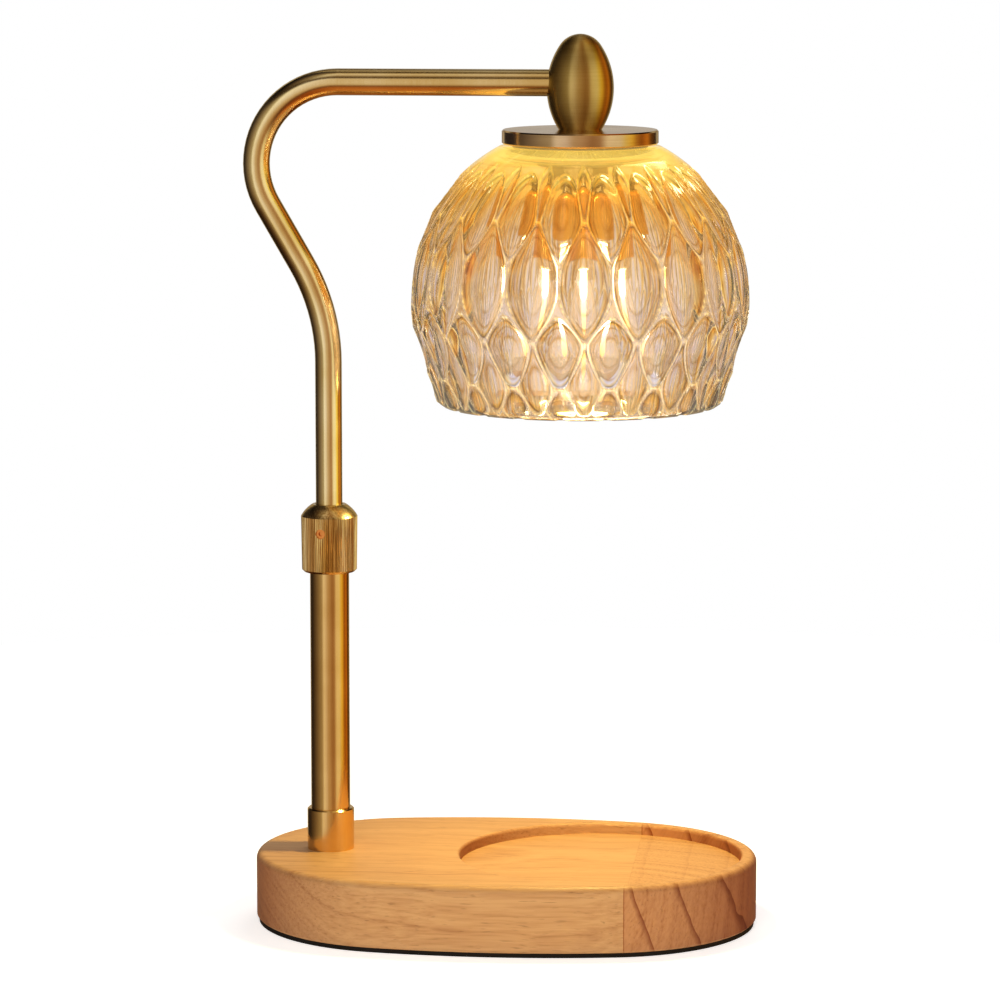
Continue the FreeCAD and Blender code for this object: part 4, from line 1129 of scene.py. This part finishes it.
@dataclass
class GlassShade:
    """The pressed-glass bowl: smooth inside, with staggered rows of cuts outside.

    Lengths are in millimetres and angles in degrees. The cuts sink into the outer skin only, so
    the bowl keeps its solid's outline.
    """

    body: str = "arm"
    node: str = "glass_shade"
    folds: int = 20
    phase: float = 6.0
    steps: int = 600
    ball_radius: float = 60.0
    top_radius: float = 28.5
    skirt_taper: float = 18.9
    wall: float = 4.6
    crown_drop: float = 5.0
    hole_radius: float = 7.0
    rim_round: float = 1.5
    ball_spans: int = 92
    skirt_spans: int = 22
    inner_spans: int = 18
    smooth_angle: float = 80.0
    full_lead: float = 3.0
    plain_lead: float = 0.10
    least_facing: float = 0.05
    # Foot, tip, widest height, half width and depth of the cuts, and whether they are staggered.
    rows: tuple[LensRow, ...] = (
        LensRow(254.0, 273.6, 266.0, 3.6, 1.1, False, blunt=True),
        LensRow(242.0, 271.2, 259.0, 8.3, 2.6, True, blunt=True),
        LensRow(214.0, 257.0, 235.5, 8.9, 3.2, False),
        LensRow(197.6, 224.0, 211.0, 8.6, 2.9, True),
        LensRow(188.2, 216.0, 199.5, 6.4, 1.7, False),
        LensRow(186.0, 200.0, 191.5, 6.0, 1.0, True),
    )

    def build(self, finish: bpy.types.Material) -> bpy.types.Object:
        """Models the shade and puts it in place of its plain node.

        Args:
            finish: The glass.

        Returns:
            The shade.
        """
        low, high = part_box(self.node)
        centre = axis_of(low, high)
        mesh = bmesh.new()
        spin_profile(mesh, self.outline(), centre, self.steps)
        mesh.normal_update()
        self.cut_pattern(mesh, centre)
        piece = piece_from(mesh, "pressed_shade", self.body, self.smooth_angle)
        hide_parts(self.node)
        dress(piece, finish)
        return piece

    def outline(self) -> list[Point]:
        """Half section of the glass, from the hole's top round to its foot and back.

        Returns:
            Radius and height of each point.
        """
        low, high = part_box(self.node)
        top, rim = high.z / MM, low.z / MM
        lean = math.radians(self.skirt_taper)
        waist = top - math.sqrt(self.ball_radius**2 - self.top_radius**2)
        rim_radius = (self.ball_radius - (waist - rim) * math.sin(lean)) / math.cos(lean)
        inner = self.ball_radius - self.wall
        inner_rim = rim_radius - self.wall / math.cos(lean)
        inner_top = math.degrees(math.asin((top - self.crown_drop - waist) / inner))
        outer_top = math.degrees(math.acos(self.top_radius / self.ball_radius))
        points = [(self.hole_radius, top)]
        points += ball_arc(self.ball_radius, outer_top, -self.skirt_taper, waist, self.ball_spans)
        points += self.skirt(points[-1], (rim_radius, rim))
        points += [(rim_radius - self.rim_round, rim), (inner_rim + self.rim_round, rim)]
        points += [(inner_rim, rim + self.rim_round)]
        points += ball_arc(inner, -self.skirt_taper, inner_top, waist, self.inner_spans)
        return points + [(self.hole_radius, top - self.crown_drop), (self.hole_radius, top)]

    def skirt(self, start: Point, end: Point) -> list[Point]:
        """Points down the straight skirt, which stops short of the rim for its rounding.

        Args:
            start: Radius and height where the ball ends.
            end: Radius and height of the rim's sharp corner.

        Returns:
            The points, without the first and the corner.
        """
        length = math.dist(start, end)
        usable = (length - self.rim_round) / length
        shares = [usable * (index + 1) / self.skirt_spans for index in range(self.skirt_spans)]
        return [
            (start[0] + (end[0] - start[0]) * share, start[1] + (end[1] - start[1]) * share)
            for share in shares
        ]

    def cut_depths(self, height: float, turn: float) -> Point:
        """Depth of the deepest cut at a point, and how much it leads the next one.

        Args:
            height: Height in millimetres.
            turn: Angle round the shade in degrees, zero at the front.

        Returns:
            Depth and lead in millimetres.
        """
        pitch = 360.0 / self.folds
        depths = [0.0, 0.0]
        for row in self.rows:
            offset = self.phase + (pitch / 2 if row.half_pitch else 0.0)
            swing = (turn - offset + pitch / 2) % pitch - pitch / 2
            depths.append(row.depth_at(height, swing))
        depths.sort()
        return depths[-1], depths[-1] - depths[-2]

    def cut_pattern(self, mesh: bmesh.types.BMesh, centre: Vector) -> None:
        """Sinks the rows of cuts into the outer skin and notes how far each point is from a ridge.

        Args:
            mesh: The shade's skin.
            centre: A point on its axis.
        """
        # The lead places the glass's painted ridge highlights and painted outlines.
        layer = mesh.verts.layers.float.new("lead")
        for vertex in mesh.verts:
            vertex[layer] = 1.0
            away = Vector((vertex.co.x - centre.x, vertex.co.y, 0.0))
            facing = vertex.normal.dot(away.normalized()) if away.length > 0 else 0.0
            if facing <= self.least_facing:
                continue
            turn = math.degrees(math.atan2(away.x, -away.y))
            depth, lead = self.cut_depths(vertex.co.z / MM, turn)
            if depth > 0.0:
                vertex.co -= vertex.normal * depth * MM
                vertex[layer] = min(lead / self.full_lead, 1.0)
            elif vertex.co.z < self.rows[0].high * MM:
                vertex[layer] = self.plain_lead


@dataclass
class QuartzTip:
    """The capsule's drawn-out quartz tip, with the filament's glare in it, in millimetres."""

    body: str = "bulb"
    radius: float = 3.6
    foot: float = 202.5
    sunk_in_capsule: float = 1.0
    shoulder: float = 4.0
    neck_share: float = 0.8
    ball_spans: int = 8
    steps: int = 32
    smooth_angle: float = 40.0

    def build(self, finish: bpy.types.Material) -> bpy.types.Object:
        """Models the tip under the capsule.

        Args:
            finish: The glowing quartz.

        Returns:
            The tip.
        """
        low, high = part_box("bulb_capsule")
        top = low.z / MM + self.sunk_in_capsule
        waist = self.foot + self.radius
        outline = [(0.0, top), (self.radius * self.neck_share, top)]
        outline += [(self.radius, waist + self.shoulder)]
        outline += ball_arc(self.radius, 0.0, -90.0, waist, self.ball_spans)
        mesh = bmesh.new()
        spin_profile(mesh, outline, axis_of(low, high), self.steps)
        piece = piece_from(mesh, "quartz_tip", self.body, self.smooth_angle)
        dress(piece, finish)
        return piece


# ------------------------------------------------------------------ studio
# Tones round the horizon: 0 and 1 lie to the left, 0.25 in front, 0.5 to the right and 0.75
# behind. Metal mirrors soft boxes in front, a warm lit wall to the right and dark flags between.
METAL_ROUND: tuple[Stop, ...] = (
    (0.00, "#5e4e3c"),
    (0.06, "#84725a"),
    (0.10, "#a08e70"),
    (0.14, "#b4a484"),
    (0.165, "#fff6e4"),
    (0.205, "#eadccc"),
    (0.235, "#d2b892"),
    (0.27, "#c6a47c"),
    (0.31, "#aa8056"),
    (0.345, "#b89064"),
    (0.375, "#fcecc4"),
    (0.43, "#fff4cc"),
    (0.46, "#ffe67c"),
    (0.49, "#ffd048"),
    (0.515, "#c4862e"),
    (0.545, "#a05a18"),
    (0.585, "#dc8826"),
    (0.615, "#6e4418"),
    (0.67, "#2e2218"),
    (0.69, "#c8b890"),
    (0.72, "#8a7454"),
    (0.74, "#bdb6ac"),
    (0.79, "#bdb6ac"),
    (0.81, "#8a7454"),
    (0.835, "#d8c8a4"),
    (0.855, "#342c28"),
    (0.94, "#342c28"),
    (1.00, "#5e4e3c"),
)
# Tones from straight down (0) past the horizon (0.5) to straight up (1): lit wood below, a pale
# wall, a dark edge where it meets the ceiling, and the pale ceiling.
METAL_RISE: tuple[Stop, ...] = (
    (0.00, "#d88a40"),
    (0.14, "#c87c40"),
    (0.24, "#8a6440"),
    (0.33, "#f0e2c8"),
    (0.45, "#ffffff"),
    (0.74, "#fbf6ea"),
    (0.80, "#5c4c38"),
    (0.86, "#6c5c46"),
    (0.92, "#d0c4ae"),
    (0.97, "#f4ecdc"),
    (1.00, "#c8b89c"),
)
# Glass bends an amber room, lit by its own bulb, with a few lilac and brown strips in it.
GLASS_ROUND: tuple[Stop, ...] = (
    (0.00, "#f0b040"),
    (0.04, "#ffe08c"),
    (0.08, "#a8702c"),
    (0.13, "#f0cc84"),
    (0.19, "#f0d8ac"),
    (0.225, "#ffc450"),
    (0.265, "#ffe894"),
    (0.305, "#ffc450"),
    (0.34, "#f0d8ac"),
    (0.40, "#f0cc84"),
    (0.45, "#a8702c"),
    (0.49, "#ffe08c"),
    (0.555, "#b87820"),
    (0.58, "#ffd060"),
    (0.62, "#f2dcb4"),
    (0.645, "#d4cce0"),
    (0.665, "#c88a3c"),
    (0.68, "#ffd878"),
    (0.70, "#fadc9c"),
    (0.715, "#fff0c8"),
    (0.735, "#ece6f2"),
    (0.755, "#f6f2fa"),
    (0.78, "#e8e0ec"),
    (0.80, "#fff0c8"),
    (0.815, "#fadc9c"),
    (0.83, "#a86428"),
    (0.85, "#ffdc88"),
    (0.875, "#d0c8dc"),
    (0.91, "#eedcbc"),
    (0.95, "#ffd060"),
    (0.975, "#b87820"),
    (1.00, "#f0b040"),
)
GLASS_RISE: tuple[Stop, ...] = (
    (0.00, "#ecc480"),
    (0.16, "#ffeec4"),
    (0.24, "#d8ae72"),
    (0.30, "#fce6bc"),
    (0.37, "#f2eef0"),
    (0.52, "#ece8ec"),
    (0.58, "#ffe8a8"),
    (0.65, "#e8b85c"),
    (0.72, "#ffe698"),
    (0.85, "#eec45c"),
    (1.00, "#e2b24a"),
)


@dataclass(frozen=True)
class RoundLight:
    """A round area light: its place and width in metres, and its power in watts."""

    name: str
    place: tuple[float, float, float]
    width: float
    power: float
    colour: str


@dataclass
class Studio:
    """Pale floor, soft lights, the lamp's own light and the camera.

    Lengths are in metres, angles in degrees and the lens and sensor in millimetres.
    """

    look_at: Vector = field(default_factory=lambda: Vector((-0.0022, 0.0, 0.1526)))
    azimuth: float = 5.26
    elevation: float = 8.15
    distance: float = 1.626
    lens: float = 164.4
    sensor: float = 36.0
    floor_radius: float = 0.62
    floor_segments: int = 128
    floor_colour: str = "#f4f2ef"
    floor_roughness: float = 0.9
    floor_gloss: float = 0.1
    floor_glow: float = 0.6
    fill: float = 0.30
    fill_blue: float = 0.98
    softboxes: tuple[RoundLight, ...] = (
        RoundLight("key_front", (-0.20, -1.45, 0.75), 0.55, 5.6, "#fff6ea"),
        RoundLight("fill_right", (1.2, -0.7, 0.6), 0.5, 1.0, "#fff3e2"),
        RoundLight("rear_top", (0.2, 0.9, 1.1), 0.7, 4.0, "#ffffff"),
    )
    bulb_width: float = 0.022
    bulb_power: float = 0.40
    bulb_colour: str = "#ffea8e"
    below_bulb: float = 0.002

    def build(self) -> None:
        """Builds everything round the lamp."""
        self.set_view()
        self.make_camera()
        self.make_floor()
        self.make_world()
        for softbox in self.softboxes:
            light = self.make_light(softbox)
            light.visible_glossy = False
            aim = self.look_at - light.location
            light.rotation_euler = aim.to_track_quat("-Z", "Y").to_euler()
        self.make_bulb_light()

    def set_view(self) -> None:
        """Uses the plain display transform, so that pale stays pale."""
        bpy.context.scene.view_settings.view_transform = "Standard"

    def make_camera(self) -> None:
        """Places the camera."""
        turn, rise = math.radians(self.azimuth), math.radians(self.elevation)
        back = Vector(
            (math.sin(turn) * math.cos(rise), -math.cos(turn) * math.cos(rise), math.sin(rise))
        )
        data = bpy.data.cameras.new("camera")
        data.lens = self.lens
        data.sensor_width = self.sensor
        camera = bpy.data.objects.new("camera", data)
        camera.location = self.look_at + back * self.distance
        camera.rotation_euler = (-back).to_track_quat("-Z", "Y").to_euler()
        bpy.context.scene.collection.objects.link(camera)
        bpy.context.scene.camera = camera

    def make_floor(self) -> None:
        """Lays a round pale floor."""
        mesh = bmesh.new()
        bmesh.ops.create_circle(
            mesh, cap_ends=True, radius=self.floor_radius, segments=self.floor_segments
        )
        data = bpy.data.meshes.new("floor")
        mesh.to_mesh(data)
        mesh.free()
        floor = bpy.data.objects.new("floor", data)
        floor.visible_glossy = False
        floor.visible_transmission = False
        bpy.context.scene.collection.objects.link(floor)
        material, shader = new_material("pale_floor")
        shader.inputs["Base Color"].default_value = linear(self.floor_colour)
        shader.inputs["Roughness"].default_value = self.floor_roughness
        shader.inputs["Specular IOR Level"].default_value = self.floor_gloss
        shader.inputs["Emission Color"].default_value = WHITE
        shader.inputs["Emission Strength"].default_value = self.floor_glow
        dress(floor, material)

    def make_world(self) -> None:
        """A white room; the metal sees strips of light and dark, and the glass an amber room."""
        world = bpy.data.worlds.new("studio")
        world.use_nodes = True
        bpy.context.scene.world = world
        tree = world.node_tree
        tree.nodes.clear()
        way = add_node(tree, "ShaderNodeTexCoord").outputs["Generated"]
        sweep = add_node(
            tree, "ShaderNodeTexGradient", {"gradient_type": "RADIAL"}, {"Vector": way}
        ).outputs["Fac"]
        height = add_node(tree, "ShaderNodeSeparateXYZ", links={"Vector": way}).outputs["Z"]
        rise = add_node(
            tree, "ShaderNodeMapRange", {"From Min": -1.0, "From Max": 1.0}, {"Value": height}
        ).outputs["Result"]
        strips = self.room(tree, sweep, rise, METAL_ROUND, METAL_RISE)
        amber = self.room(tree, sweep, rise, GLASS_ROUND, GLASS_RISE)
        path = add_node(tree, "ShaderNodeLightPath")
        colour = add_node(
            tree,
            "ShaderNodeMix",
            {"data_type": "RGBA", 6: (self.fill, self.fill, self.fill * self.fill_blue, 1.0)},
            {0: path.outputs["Is Glossy Ray"], 7: strips},
        ).outputs[2]
        colour = add_node(
            tree,
            "ShaderNodeMix",
            {"data_type": "RGBA"},
            {0: path.outputs["Is Transmission Ray"], 6: colour, 7: amber},
        ).outputs[2]
        colour = add_node(
            tree,
            "ShaderNodeMix",
            {"data_type": "RGBA", 7: WHITE},
            {0: path.outputs["Is Camera Ray"], 6: colour},
        ).outputs[2]
        back = add_node(tree, "ShaderNodeBackground", {"Strength": 1.0}, {"Color": colour})
        add_node(tree, "ShaderNodeOutputWorld", links={"Surface": back.outputs[0]})

    def room(
        self,
        tree: Tree,
        sweep: Socket,
        rise: Socket,
        round_stops: Sequence[Stop],
        rise_stops: Sequence[Stop],
    ) -> Socket:
        """Multiplies the tones round the horizon by the tones from floor to ceiling.

        Args:
            tree: The world's tree.
            sweep: Share of the way round.
            rise: Share of the way up.
            round_stops: Tones round the horizon.
            rise_stops: Tones from straight down to straight up.

        Returns:
            The room's colour.
        """
        around, upward = (
            add_node(tree, "ShaderNodeValToRGB", {"stops": stops}, {"Fac": share}).outputs["Color"]
            for stops, share in ((round_stops, sweep), (rise_stops, rise))
        )
        return add_node(
            tree,
            "ShaderNodeMix",
            {"data_type": "RGBA", "blend_type": "MULTIPLY", 0: 1.0},
            {6: around, 7: upward},
        ).outputs[2]

    def make_light(self, source: RoundLight) -> bpy.types.Object:
        """Adds a round area light that points straight down.

        Args:
            source: What the light is.

        Returns:
            The light.
        """
        data = bpy.data.lights.new(source.name, "AREA")
        data.shape = "DISK"
        data.size = source.width
        data.energy = source.power
        data.color = linear(source.colour)[:3]
        light = bpy.data.objects.new(source.name, data)
        light.location = source.place
        bpy.context.scene.collection.objects.link(light)
        return light

    def make_bulb_light(self) -> None:
        """Adds the light that the bulb throws down on the base, which moves with the bulb."""
        low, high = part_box("bulb_cover")
        middle = axis_of(low, high)
        place = (middle.x, middle.y, low.z - self.below_bulb)
        light = self.make_light(
            RoundLight("bulb_light", place, self.bulb_width, self.bulb_power, self.bulb_colour)
        )
        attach(light, "bulb")


def main() -> None:
    """Builds and dresses the lamp, then the studio."""
    logging.basicConfig(level=logging.INFO)
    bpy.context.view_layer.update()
    finishes = make_finishes()
    for sub_assembly in (WoodenBase, Post, HeightClamp, Head, LampHolder, Bulb):
        sub_assembly(finishes).build()
    GlassShade().build(finishes["glass"])
    QuartzTip().build(finishes["lit_tip"])
    Studio().build()


if __name__ == "__main__":
    main()
